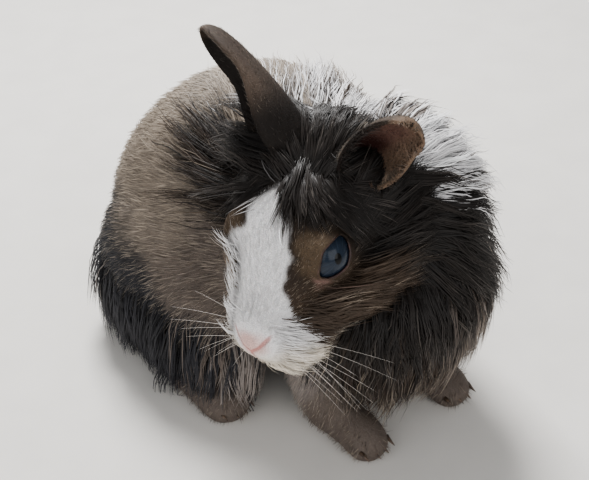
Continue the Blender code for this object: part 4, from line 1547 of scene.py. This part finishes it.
HIDE = (Region.TORSO, Region.THIGH)
LIMBS = (Region.FOOT, Region.FORELEG)
FACE = (Region.HEAD,)
MANE = (Region.NECK, Region.COLLAR)
NAPE = (Region.TORSO, Region.NECK)
BOTH_EARS = (Region.EAR_LEFT, Region.EAR_RIGHT)
# the ticked share gives pale tips to brown hairs and painted grey highlights to the tips of dark ones
WOOLS = (
    Wool(
        "body_coat", "body_coat", HIDE, Lie.BODY, 14000, 3000, 0.0098, 0.00040, 2, 0.30, 0.0022,
        stray=0.10, ticked=0.35,
    ),
    Wool(
        "back_coat", "body_coat", HIDE, Lie.BODY, 40000, 3600, 0.0072, 0.00036, 1, 0.35, 0.0024,
        stray=0.14, ticked=0.50,
    ),
    Wool(
        "leg_coat", "leg_coat", LIMBS, Lie.BODY, 15000, 1500, 0.0070, 0.00042, 1, 0.35, 0.0020,
        stray=0.15, ticked=0.2, varied=0.2,
    ),
    Wool(
        "face_coat", "head_coat", FACE, Lie.FACE, 37000, 5000, 0.0042, 0.00030, 1, 0.25, 0.0011,
        where=Place.FACE, sway=0.12, stray=0.10, ticked=0.18,
    ),
    Wool(
        "muzzle_fluff", "head_coat", FACE, Lie.LIPS, 4800, 600, 0.0125, 0.00026, 3, 0.60, 0.0065,
        where=Place.MUZZLE, sway=0.3, stray=0.12,
    ),
    Wool(
        "cheek_fluff", "head_coat", FACE, Lie.FACE, 2400, 400, 0.0120, 0.00030, 3, 0.80, 0.0060,
        where=Place.RIGHT_CHEEK, sway=0.3, stray=0.12, ticked=0.2,
    ),
    Wool(
        "jowl_wool", "mane_coat", FACE, Lie.JOWL, 2800, 300, 0.0220, 0.00034, 4, 0.60, 0.0080,
        where=Place.JOWL, pull=0.4, droop=0.25, sway=0.3, bundled=True, ticked=0.06,
    ),
    Wool(
        "forelock", "mane_coat", FACE, Lie.FORELOCK, 3000, 170, 0.0140, 0.00028, 4, 0.45, 0.0026,
        where=Place.BROW, pull=0.45, wave=0.0004, bundled=True, ticked=0.05, varied=0.4,
    ),
    Wool(
        "crown_wool", "mane_coat", FACE, Lie.MANE, 3800, 320, 0.0150, 0.00032, 4, 0.45, 0.0038,
        where=Place.CROWN, pull=0.5, droop=0.4, bundled=True, ticked=0.06, varied=0.4,
    ),
    Wool(
        "shoulder_wool", "mane_coat", FACE, Lie.SHOULDER, 2700, 110, 0.0460, 0.00032, 5, 0.5, 0.0080,
        where=Place.RIGHT_SHOULDER, pull=0.3, droop=0.05, wave=0.0008, stray=0.05, bundled=True,
        ticked=0.2, varied=0.4,
    ),
    Wool(
        "cheek_wool", "mane_coat", FACE, Lie.CHEEK, 4400, 330, 0.0230, 0.00034, 4, 0.4, 0.0045,
        where=Place.CHEEK, pull=0.5, droop=0.4, bundled=True, ticked=0.05, varied=0.3,
    ),
    Wool(
        "mane", "mane_coat", MANE, Lie.MANE, 5600, 400, 0.0400, 0.00038, 5, 0.40, 0.0085,
        pull=0.55, droop=0.7, wave=0.0010, bundled=True, ticked=0.15, varied=0.35,
    ),
    Wool(
        "nape_wool", "mane_coat", NAPE, Lie.MANE, 4000, 260, 0.0400, 0.00036, 5, 0.40, 0.0065,
        where=Place.NAPE, pull=0.6, droop=0.3, wave=0.0010, bundled=True, ticked=0.15, varied=0.25,
    ),
    Wool(
        "bib", "mane_coat", (Region.BIB,), Lie.DOWN, 4000, 280, 0.0400, 0.00042, 5, 0.50, 0.0070,
        pull=0.6, wave=0.0008, bundled=True, ticked=0.2, varied=0.25,
    ),
    Wool(
        "skirt", "leg_coat", (Region.THIGH,), Lie.DOWN, 3300, 280, 0.0290, 0.00044, 4, 0.70, 0.0080,
        where=Place.SKIRT, pull=0.6, wave=0.0008, bundled=True, varied=0.2,
    ),
    Wool(
        "tail_wool", "body_coat", (Region.TAIL,), Lie.TAIL, 2200, 240, 0.0150, 0.00044, 3, 0.60, 0.0050,
        stray=0.12, bundled=True,
    ),
    Wool(
        "ear_coat", "ear_skin", BOTH_EARS, Lie.EAR, 12000, 1400, 0.0026, 0.00024, 1, 0.25, 0.0008,
        stray=0.15, ticked=0.3,
    ),
    Wool(
        "ear_fringe", "ear_skin", (Region.EAR_LEFT,), Lie.FRINGE, 600, 160, 0.0055, 0.00016, 3, 0.35, 0.0030,
        where=Place.FRINGE, stray=0.15,
    ),
)


# ---------------------------------------------------------------- finishes


def add_node(tree: bpy.types.NodeTree, kind: str, settings: dict, links: dict) -> bpy.types.Node:
    """Adds a node with its settings, values and links.

    Args:
        tree: the material's node tree.
        kind: the node's type.
        settings: attributes of the node, by name.
        links: for each input, by name or place, a value or the socket that feeds it.

    Returns:
        The new node.
    """
    node = tree.nodes.new(kind)
    for name, value in settings.items():
        setattr(node, name, value)
    feed(tree, node, links)
    return node


def feed(tree: bpy.types.NodeTree, node: bpy.types.Node, links: dict) -> None:
    """Gives a node's inputs their values and links.

    Args:
        tree: the material's node tree.
        node: the node.
        links: for each input, by name or place, a value or the socket that feeds it.
    """
    for name, value in links.items():
        socket = node.inputs[name]
        if isinstance(value, bpy.types.NodeSocket):
            tree.links.new(value, socket)
        else:
            socket.default_value = value


def add_ramp(tree: bpy.types.NodeTree, factor: bpy.types.NodeSocket, stops: tuple) -> bpy.types.NodeSocket:
    """Adds a colour ramp.

    Args:
        tree: the material's node tree.
        factor: the socket that drives the ramp.
        stops: pairs of place and linear colour.

    Returns:
        The ramp's colour.
    """
    node = add_node(tree, "ShaderNodeValToRGB", {}, {"Fac": factor})
    elements = node.color_ramp.elements
    while len(elements) < len(stops):
        elements.new(1.0)
    for element, (place, colour) in zip(elements, stops):
        element.position = place
        element.color = (*colour, 1.0)
    return node.outputs["Color"]


def add_noise(tree: bpy.types.NodeTree, scale: float, detail: float) -> bpy.types.NodeSocket:
    """Adds a noise over the object's own space.

    Args:
        tree: the material's node tree.
        scale: waves in a metre.
        detail: how many finer layers it has.

    Returns:
        The noise's factor.
    """
    spot = add_node(tree, "ShaderNodeTexCoord", {}, {})
    settings = {"Vector": spot.outputs["Object"], "Scale": scale, "Detail": detail}
    return add_node(tree, "ShaderNodeTexNoise", {}, settings).outputs["Fac"]


def add_tone(
    tree: bpy.types.NodeTree, colour: bpy.types.NodeSocket, noise: bpy.types.NodeSocket,
    low: float, high: float,
) -> bpy.types.NodeSocket:
    """Darkens and lightens a colour by a noise.

    Args:
        tree: the material's node tree.
        colour: the colour.
        noise: the noise's factor.
        low: brightness where the noise is low.
        high: brightness where it is high.

    Returns:
        The toned colour.
    """
    tone = add_node(tree, "ShaderNodeMapRange", {}, {"Value": noise, 1: 0.3, 2: 0.7, 3: low, 4: high})
    toned = {"Vector": colour, "Scale": tone.outputs["Result"]}
    return add_node(tree, "ShaderNodeVectorMath", {"operation": "SCALE"}, toned).outputs[0]


def new_material(name: str) -> tuple[bpy.types.Material, bpy.types.NodeTree, bpy.types.Node]:
    """A new node material, its tree and its shader."""
    material = bpy.data.materials.new(name)
    material.use_nodes = True
    return material, material.node_tree, material.node_tree.nodes["Principled BSDF"]


def grey(value: float) -> tuple:
    """A grey as three equal values."""
    return (value, value, value)


@dataclass(frozen=True)
class FurFinish:
    """Rabbit fur: painted shade towards the root, lighter or darker at the tip, each hair with a soft gloss.
    """

    name: str
    # brightness of a hair at its root, a painted shade deep in the coat, and at its tip
    root: float
    tip: float
    roughness: float = 0.46
    sheen: float = 0.08

    def build(self) -> bpy.types.Material:
        """Makes the finish.

        Returns:
            The node material.
        """
        material, tree, shader = new_material(self.name)
        coat = add_node(tree, "ShaderNodeAttribute", {"attribute_name": "coat"}, {})
        along = add_node(tree, "ShaderNodeAttribute", {"attribute_name": "along"}, {})
        # a hair is darkened towards its root by painted shade deep in the coat, and is full in colour near
        # its end
        stops = ((0.0, grey(self.root)), (0.55, grey(1.0)), (1.0, grey(self.tip)))
        ramp = add_ramp(tree, along.outputs["Fac"], stops)
        lit = add_node(
            tree, "ShaderNodeMix", {"data_type": "RGBA", "blend_type": "MULTIPLY"},
            {0: 1.0, 6: coat.outputs["Color"], 7: ramp},
        )
        # broad soft changes of tone, about 6 mm across, as the real coat has
        toned = add_tone(tree, lit.outputs[2], add_noise(tree, 160.0, 3.0), 0.86, 1.14)
        feed(tree, shader, {
            "Base Color": toned, "Roughness": self.roughness, "Specular IOR Level": 0.3,
            "Sheen Weight": self.sheen, "Sheen Roughness": 0.5,
        })
        return material


@dataclass(frozen=True)
class SkinFinish:
    """Skin under short fur: the coat's own colour, broken by fine hair drawn as bump."""

    name: str = "rabbit_skin_under_short_fur"
    hair: float = 2600.0

    def build(self) -> bpy.types.Material:
        """Makes the finish.

        Returns:
            The node material.
        """
        material, tree, shader = new_material(self.name)
        coat = add_node(tree, "ShaderNodeAttribute", {"attribute_name": "coat"}, {})
        # fine hair, drawn about 0.4 mm across so that it shows
        hairs = add_noise(tree, self.hair, 2.0)
        bump = add_node(tree, "ShaderNodeBump", {}, {"Height": hairs, "Strength": 0.5, "Distance": 0.0004})
        feed(tree, shader, {
            "Base Color": add_tone(tree, coat.outputs["Color"], hairs, 0.7, 1.1),
            "Normal": bump.outputs["Normal"], "Roughness": 0.7, "Specular IOR Level": 0.25,
            "Subsurface Weight": 0.05, "Subsurface Radius": (0.002, 0.001, 0.0006),
        })
        return material


@dataclass(frozen=True)
class EyeFinish:
    """Wet eye: a blue-grey iris with fine rays and a black pupil under a clear cornea."""

    name: str
    centre: Vector
    turn: Matrix
    iris: str = "#242e3b"
    edge: str = "#0c0f13"
    fleck: str = "#425063"
    # how the rings are drawn out along and across the lids
    pupil: tuple = (1.20, 0.78, 0.0)

    def build(self) -> bpy.types.Material:
        """Makes the finish.

        Returns:
            The node material.
        """
        material, tree, shader = new_material(self.name)
        spot = add_node(tree, "ShaderNodeTexCoord", {}, {})
        inverse = self.turn.to_3x3().inverted()
        moved = {"Location": tuple(inverse @ -self.centre), "Rotation": tuple(inverse.to_euler())}
        centred = add_node(
            tree, "ShaderNodeMapping", {"vector_type": "POINT"}, {"Vector": spot.outputs["Object"], **moved}
        )
        flat = add_node(
            tree, "ShaderNodeVectorMath", {"operation": "MULTIPLY"}, {0: centred.outputs[0], 1: self.pupil}
        )
        radius = add_node(tree, "ShaderNodeVectorMath", {"operation": "LENGTH"}, {0: flat.outputs[0]})
        # rays of the iris run out from the pupil
        parts = add_node(tree, "ShaderNodeSeparateXYZ", {}, {0: centred.outputs[0]})
        angle = add_node(
            tree, "ShaderNodeMath", {"operation": "ARCTAN2"}, {0: parts.outputs["X"], 1: parts.outputs["Y"]}
        )
        ray_place = add_node(tree, "ShaderNodeCombineXYZ", {}, {"X": angle.outputs[0], "Y": 0.0, "Z": 0.0})
        rays = add_node(
            tree, "ShaderNodeTexNoise", {},
            {"Vector": ray_place.outputs[0], "Scale": 9.0, "Detail": 4.0, "Roughness": 0.7},
        )
        tones = ((0.3, linear(self.iris) * 0.6), (0.55, linear(self.iris)), (0.75, linear(self.fleck)))
        iris = add_ramp(tree, rays.outputs["Fac"], tones)
        ring = add_node(
            tree, "ShaderNodeMapRange", {},
            {"Value": radius.outputs["Value"], 1: 0.0, 2: EYE_RADIUS, 3: 0.0, 4: 1.0},
        )
        # black pupil, iris, and the darker edge of the eye
        shares = ((0.0, 0.0), (0.15, 0.0), (0.18, 1.0), (0.85, 1.0), (1.0, 0.3))
        mask = add_ramp(tree, ring.outputs["Result"], tuple((place, grey(share)) for place, share in shares))
        colour = add_node(
            tree, "ShaderNodeMix", {"data_type": "RGBA"},
            {0: mask, 6: (*(linear(self.edge) * 0.25), 1.0), 7: iris},
        )
        feed(tree, shader, {
            "Base Color": colour.outputs[2], "Roughness": 0.25, "Specular IOR Level": 0.2,
            "Coat Weight": 0.45, "Coat Roughness": 0.03, "Coat IOR": 1.38,
        })
        return material


@dataclass(frozen=True)
class PlainFinish:
    """Horn, bare skin or hair of one tone, mottled so finely that it reads as living."""

    name: str
    colour: str
    second: str
    roughness: float
    scale: float = 900.0

    def build(self) -> bpy.types.Material:
        """Makes the finish.

        Returns:
            The node material.
        """
        material, tree, shader = new_material(self.name)
        noise = add_noise(tree, self.scale, 3.0)
        ramp = add_ramp(tree, noise, ((0.35, linear(self.colour)), (0.65, linear(self.second))))
        bump = add_node(tree, "ShaderNodeBump", {}, {"Height": noise, "Strength": 0.2, "Distance": 0.0002})
        normal = bump.outputs["Normal"]
        feed(tree, shader, {"Base Color": ramp, "Normal": normal, "Roughness": self.roughness})
        return material


def dress(obj: bpy.types.Object, material: bpy.types.Material) -> bpy.types.Object:
    """Gives a piece its material and its body.

    Args:
        obj: the piece.
        material: its finish.

    Returns:
        The piece.
    """
    obj.data.materials.clear()
    obj.data.materials.append(material)
    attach(obj, BODY)
    LOG.info("%s: %d points", obj.name, len(obj.data.vertices))
    return obj


# ---------------------------------------------------------------- eyes, claws and whiskers


@dataclass(frozen=True)
class Eye:
    """One eye: a smooth ball with a slightly raised cornea, and the moist rim of its lids."""

    sign: int
    side: str
    # way that the pupil looks, for the left eye in the head's frame
    gaze: tuple = (0.916, -0.250, 0.315)
    cornea: float = 0.0042
    bulge: float = 0.0004
    rim: float = 0.00042
    rim_points: int = 72
    # turn of the left pupil's long way
    slant: float = -33.0

    def ball(self, shift: Vector) -> bpy.types.Object:
        """Makes the eyeball, with its pole on the pupil.

        Args:
            shift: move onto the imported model.

        Returns:
            The eyeball's object.
        """
        bm = bmesh.new()
        bmesh.ops.create_uvsphere(bm, u_segments=64, v_segments=48, radius=EYE_RADIUS)
        for vert in bm.verts:
            away = math.hypot(vert.co.x, vert.co.y)
            if vert.co.z > 0:
                vert.co += vert.co.normalized() * self.bulge * math.exp(-((away / self.cornea) ** 4))
        bm.transform(Matrix.Translation(shift) @ eye_frame(self.sign, self.gaze))
        obj = object_of(f"eye_ball_{self.side}", bm)
        obj.data.shade_smooth()
        return obj

    def lid_rim(self, shift: Vector) -> bpy.types.Object:
        """Makes the thin moist rim that follows the opening between the lids.

        Args:
            shift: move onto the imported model.

        Returns:
            The rim's object.
        """
        turn = lid_frame(self.sign)
        curve = bpy.data.curves.new("rim", "CURVE")
        curve.dimensions = "3D"
        spline = curve.splines.new("POLY")
        spline.points.add(self.rim_points - 1)
        radius = EYE_RADIUS + 0.55 * LID
        for i, point in enumerate(spline.points):
            a = 2 * math.pi * i / self.rim_points
            x, y = almond(math.cos(a), math.sin(a))
            place = turn @ Vector((x, y, math.sqrt(radius**2 - x * x - y * y)))
            point.co = (*(place + shift), 1.0)
        spline.use_cyclic_u = True
        curve.bevel_depth = self.rim
        curve.bevel_resolution = 2
        holder = new_object("rim", curve)
        mesh = evaluated_mesh(holder)
        bpy.data.objects.remove(holder)
        mesh.shade_smooth()
        return new_object(f"lid_rim_{self.side}", mesh)

    def build(self, shift: Vector) -> None:
        """Builds and dresses the eye and its rim.

        Args:
            shift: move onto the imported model.
        """
        ball = self.ball(shift)
        turn = eye_frame(self.sign, self.gaze) @ Matrix.Rotation(math.radians(self.slant * self.sign), 4, "Z")
        finish = EyeFinish(f"wet_eye_{self.side}", turn.translation + shift, turn)
        dress(ball, finish.build())
        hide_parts(f"eye_{self.side}")
        rim = PlainFinish(f"moist_lid_{self.side}", "#2a1b18", "#4d332d", 0.35)
        dress(self.lid_rim(shift), rim.build())


@dataclass(frozen=True)
class Whiskers:
    """Long stiff hairs of the lip pads."""

    radius: float = 0.00007
    steps: int = 12
    sides: int = 5
    # depth of a root in the skin, unevenness of the ways, bend of a step, share of the width lost
    depth: float = 0.0008
    uneven: float = 0.08
    bend: float = 0.012
    taper: float = 0.8
    # rows on the lip pad in the head's frame: root x, y, z, way x, y, z, length
    rows: tuple = (
        (0.0085, -0.0350, -0.0060, 1.00, -0.20, 0.10, 0.026),
        (0.0100, -0.0325, -0.0070, 1.00, -0.10, 0.05, 0.030),
        (0.0085, -0.0365, -0.0090, 1.00, -0.22, -0.15, 0.026),
        (0.0102, -0.0335, -0.0100, 1.00, -0.12, -0.20, 0.031),
        (0.0112, -0.0305, -0.0095, 1.00, 0.20, -0.05, 0.032),
        (0.0085, -0.0360, -0.0120, 0.90, -0.22, -0.50, 0.026),
        (0.0104, -0.0330, -0.0130, 1.00, -0.15, -0.50, 0.030),
        (0.0112, -0.0300, -0.0130, 1.00, 0.10, -0.35, 0.032),
        (0.0094, -0.0345, -0.0110, 0.95, -0.18, -0.35, 0.029),
        (0.0090, -0.0335, -0.0155, 0.80, -0.20, -0.75, 0.025),
        (0.0102, -0.0305, -0.0160, 0.85, -0.20, -0.60, 0.027),
        (0.0098, -0.0320, -0.0145, 0.90, -0.15, -0.65, 0.029),
    )

    def paths(self, skin: Skin, shift: Vector) -> list[list[Vector]]:
        """Points along every whisker.

        Args:
            skin: the skin they grow from.
            shift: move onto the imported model.

        Returns:
            Lists of points, root to tip.
        """
        rng = np.random.default_rng(SEED)
        found = []
        for x, y, z, wx, wy, wz, length in self.rows:
            for sign in (1, -1):
                start = HEAD_FRAME @ Vector((sign * x, y, z))
                root, normal, _, _ = skin.tree.find_nearest(start)
                way = Vector(from_head(np.array((sign * wx, wy, wz)))).normalized()
                way = (way + Vector(rng.uniform(-self.uneven, self.uneven, 3))).normalized()
                here = root - normal * self.depth
                points = [here + shift]
                for _ in range(self.steps):
                    here = here + way * length / self.steps
                    # the hair curves slightly down under its own weight
                    way = (way + Vector((0.0, 0.0, -self.bend))).normalized()
                    here.z = max(here.z, 0.001)
                    points.append(here + shift)
                found.append(points)
        return found

    def build(self, skin: Skin, shift: Vector) -> None:
        """Builds and dresses the whiskers as one mesh of tapered closed hairs.

        Args:
            skin: the skin they grow from.
            shift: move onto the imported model.
        """
        bm = bmesh.new()
        for points in self.paths(skin, shift):
            rings = []
            for i, point in enumerate(points[:-1]):
                along = (points[i + 1] - point).normalized()
                side = along.orthogonal().normalized()
                other = along.cross(side)
                thin = self.radius * (1 - self.taper * i / len(points))
                turns = np.linspace(0, 2 * math.pi, self.sides + 1)[:-1]
                ways = [side * math.cos(a) + other * math.sin(a) for a in turns]
                rings.append([bm.verts.new(point + way * thin) for way in ways])
            for lower, upper in zip(rings, rings[1:]):
                bridge(bm, lower, upper)
            tip = bm.verts.new(points[-1])
            for pair in closed(rings[-1]):
                bm.faces.new((*pair, tip))
            bm.faces.new(rings[0])
        bmesh.ops.recalc_face_normals(bm, faces=bm.faces)
        obj = object_of("whiskers", bm)
        obj.data.shade_smooth()
        hair = PlainFinish("keratin_whisker", "#efeae4", "#cfc8c0", 0.35)
        dress(obj, hair.build())


@dataclass(frozen=True)
class Claws:
    """Short curved claws that end the toes."""

    length: float = 0.0048
    radius: float = 0.0011
    spread: float = 0.0042
    # radius of the tip, turn from upright in degrees, and how a row curves back and stands forward
    tip: float = 0.0001
    turn: float = 104.0
    curve: float = 0.0007
    forward: float = 0.001
    # middle of each row of toes: x, y, z, and how many claws
    rows: tuple = (
        (0.022, -0.0690, 0.0050, 4),
        (-0.022, -0.0690, 0.0050, 4),
        (0.049, -0.0205, 0.0055, 4),
        (-0.049, -0.0205, 0.0055, 4),
    )

    def build(self, shift: Vector) -> None:
        """Builds and dresses every claw as one mesh.

        Args:
            shift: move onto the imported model.
        """
        bm = bmesh.new()
        for x, y, z, count in self.rows:
            for i in range(count):
                across = i - (count - 1) / 2
                made = bmesh.ops.create_cone(
                    bm, cap_ends=True, segments=10, radius1=self.radius, radius2=self.tip, depth=self.length
                )
                bend = Matrix.Rotation(math.radians(self.turn), 4, "X")
                at = Vector((x + across * self.spread, y + self.curve * across**2 - self.forward, z))
                bmesh.ops.transform(bm, matrix=Matrix.Translation(at + shift) @ bend, verts=made["verts"])
        bmesh.ops.recalc_face_normals(bm, faces=bm.faces)
        obj = object_of("claws", bm)
        obj.data.shade_smooth()
        dress(obj, PlainFinish("horn_claw", "#3b3029", "#6b5a4c", 0.4).build())


# ---------------------------------------------------------------- studio


@dataclass(frozen=True)
class Studio:
    """Pale floor, soft lights and the camera at the photograph's angle."""

    azimuth: float = -40.0
    elevation: float = 35.0
    distance: float = 0.40
    target: tuple = (-0.005, -0.001, 0.054)
    focal: float = 1036.0
    width: float = 589.0
    # lights: name, direction from the rabbit, size and power
    lights: tuple = (
        ("key", (0.20, 0.45, 0.90), 0.30, 13.0),
        ("fill", (-0.85, -0.25, 0.45), 0.80, 2.6),
        ("front", (-0.20, -1.00, 0.50), 0.70, 2.6),
    )
    reach: float = 0.9
    # point that the lights hang round, colour and power of the surround, half width of the floor
    aim: tuple = (0.0, 0.0, 0.05)
    surround: str = "#e6e7ea"
    surround_power: float = 0.35
    floor_size: float = 3.0
    sensor: float = 36.0

    def floor(self) -> None:
        """Lays the plain floor."""
        bm = bmesh.new()
        bmesh.ops.create_grid(bm, x_segments=1, y_segments=1, size=self.floor_size)
        obj = object_of("floor", bm)
        obj.data.materials.append(PlainFinish("matt_paper", "#dedbd6", "#dad7d2", 0.9, 40.0).build())

    def camera(self, shift: Vector) -> None:
        """Sets the camera where the photograph was taken from.

        Args:
            shift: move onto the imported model.
        """
        azimuth, elevation = math.radians(self.azimuth), math.radians(self.elevation)
        flat = math.cos(elevation)
        back = Vector((math.sin(azimuth) * flat, -math.cos(azimuth) * flat, math.sin(elevation)))
        data = bpy.data.cameras.new("camera")
        data.sensor_width = self.sensor
        data.lens = self.focal / self.width * data.sensor_width
        camera = new_object("camera", data)
        camera.location = Vector(self.target) + shift + back * self.distance
        camera.rotation_euler = back.to_track_quat("Z", "Y").to_euler()
        bpy.context.scene.camera = camera

    def light(self) -> None:
        """Hangs the soft lights and sets the pale surround."""
        for name, way, size, power in self.lights:
            data = bpy.data.lights.new(name, "AREA")
            data.size = size
            data.energy = power
            lamp = new_object(name, data)
            direction = Vector(way).normalized()
            lamp.location = direction * self.reach + Vector(self.aim)
            lamp.rotation_euler = direction.to_track_quat("Z", "Y").to_euler()
        world = bpy.data.worlds.new("surround")
        world.use_nodes = True
        tree = world.node_tree
        glow = {"Color": (*linear(self.surround), 1.0), "Strength": self.surround_power}
        feed(tree, tree.nodes["Background"], glow)
        bpy.context.scene.world = world

    def build(self, shift: Vector) -> None:
        """Sets up the whole studio.

        Args:
            shift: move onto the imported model.
        """
        bpy.context.scene.view_settings.look = "AgX - Medium High Contrast"
        self.floor()
        self.camera(shift)
        self.light()


# ---------------------------------------------------------------- the rabbit


class Rabbit:
    """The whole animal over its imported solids."""

    NODES = (
        "torso", "neck_mane", "head", "ear_left", "ear_right", "foreleg_left", "foreleg_right",
        "hindleg_left", "hindleg_right", "tail",
    )

    def __init__(self) -> None:
        """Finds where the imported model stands."""
        low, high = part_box("eye_left")
        self.shift = (low + high) / 2 - eye_centre(1)
        self.shift.z = 0.0
        self.markings = Markings()

    def furs(self) -> dict[str, bpy.types.Material]:
        """Makes a fur finish for each slot that the kinds of coat name.

        Returns:
            The materials by slot.
        """
        # the two numbers of each finish: painted shade at a hair's root, and the brightness of its tip
        return {
            "body_coat": FurFinish("agouti_fur", 0.60, 1.00).build(),
            "mane_coat": FurFinish("long_mane_wool", 0.60, 1.05, 0.42).build(),
            "head_coat": FurFinish("short_face_fur", 0.75, 1.05).build(),
            "leg_coat": FurFinish("dense_leg_fur", 0.60, 1.10).build(),
            "ear_skin": FurFinish("velvet_ear_fur", 0.75, 1.05).build(),
        }

    def build(self) -> None:
        """Builds and dresses every piece."""
        skin = Skin()
        LOG.info("skin: %d triangles", len(skin.triangles))
        furs = self.furs()
        coat = Coat(skin, self.markings, self.shift)
        for i, wool in enumerate(WOOLS):
            dress(coat.grow(wool, SEED + i), furs[wool.slot])
        for eye in (Eye(1, "left"), Eye(-1, "right")):
            eye.build(self.shift)
        Whiskers().build(skin, self.shift)
        Claws().build(self.shift)
        self.finish_skin(skin)

    def finish_skin(self, skin: Skin) -> None:
        """Marks the skin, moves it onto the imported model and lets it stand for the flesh.

        Args:
            skin: the skin.
        """
        colours = self.markings.all_over(skin.points, skin.normals, skin.regions)
        put_attribute(skin.obj.data, "coat", "FLOAT_COLOR", np.column_stack((colours, np.ones(len(colours)))))
        skin.obj.data.transform(Matrix.Translation(self.shift))
        skin.obj.data.shade_smooth()
        dress(skin.obj, SkinFinish().build())
        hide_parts(*self.NODES)


def main() -> None:
    """Builds the rabbit in its studio and notes its size."""
    logging.basicConfig(level=logging.INFO, format="%(message)s")
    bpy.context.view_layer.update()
    rabbit = Rabbit()
    rabbit.build()
    Studio().build(rabbit.shift)


if __name__ == "__main__":
    main()
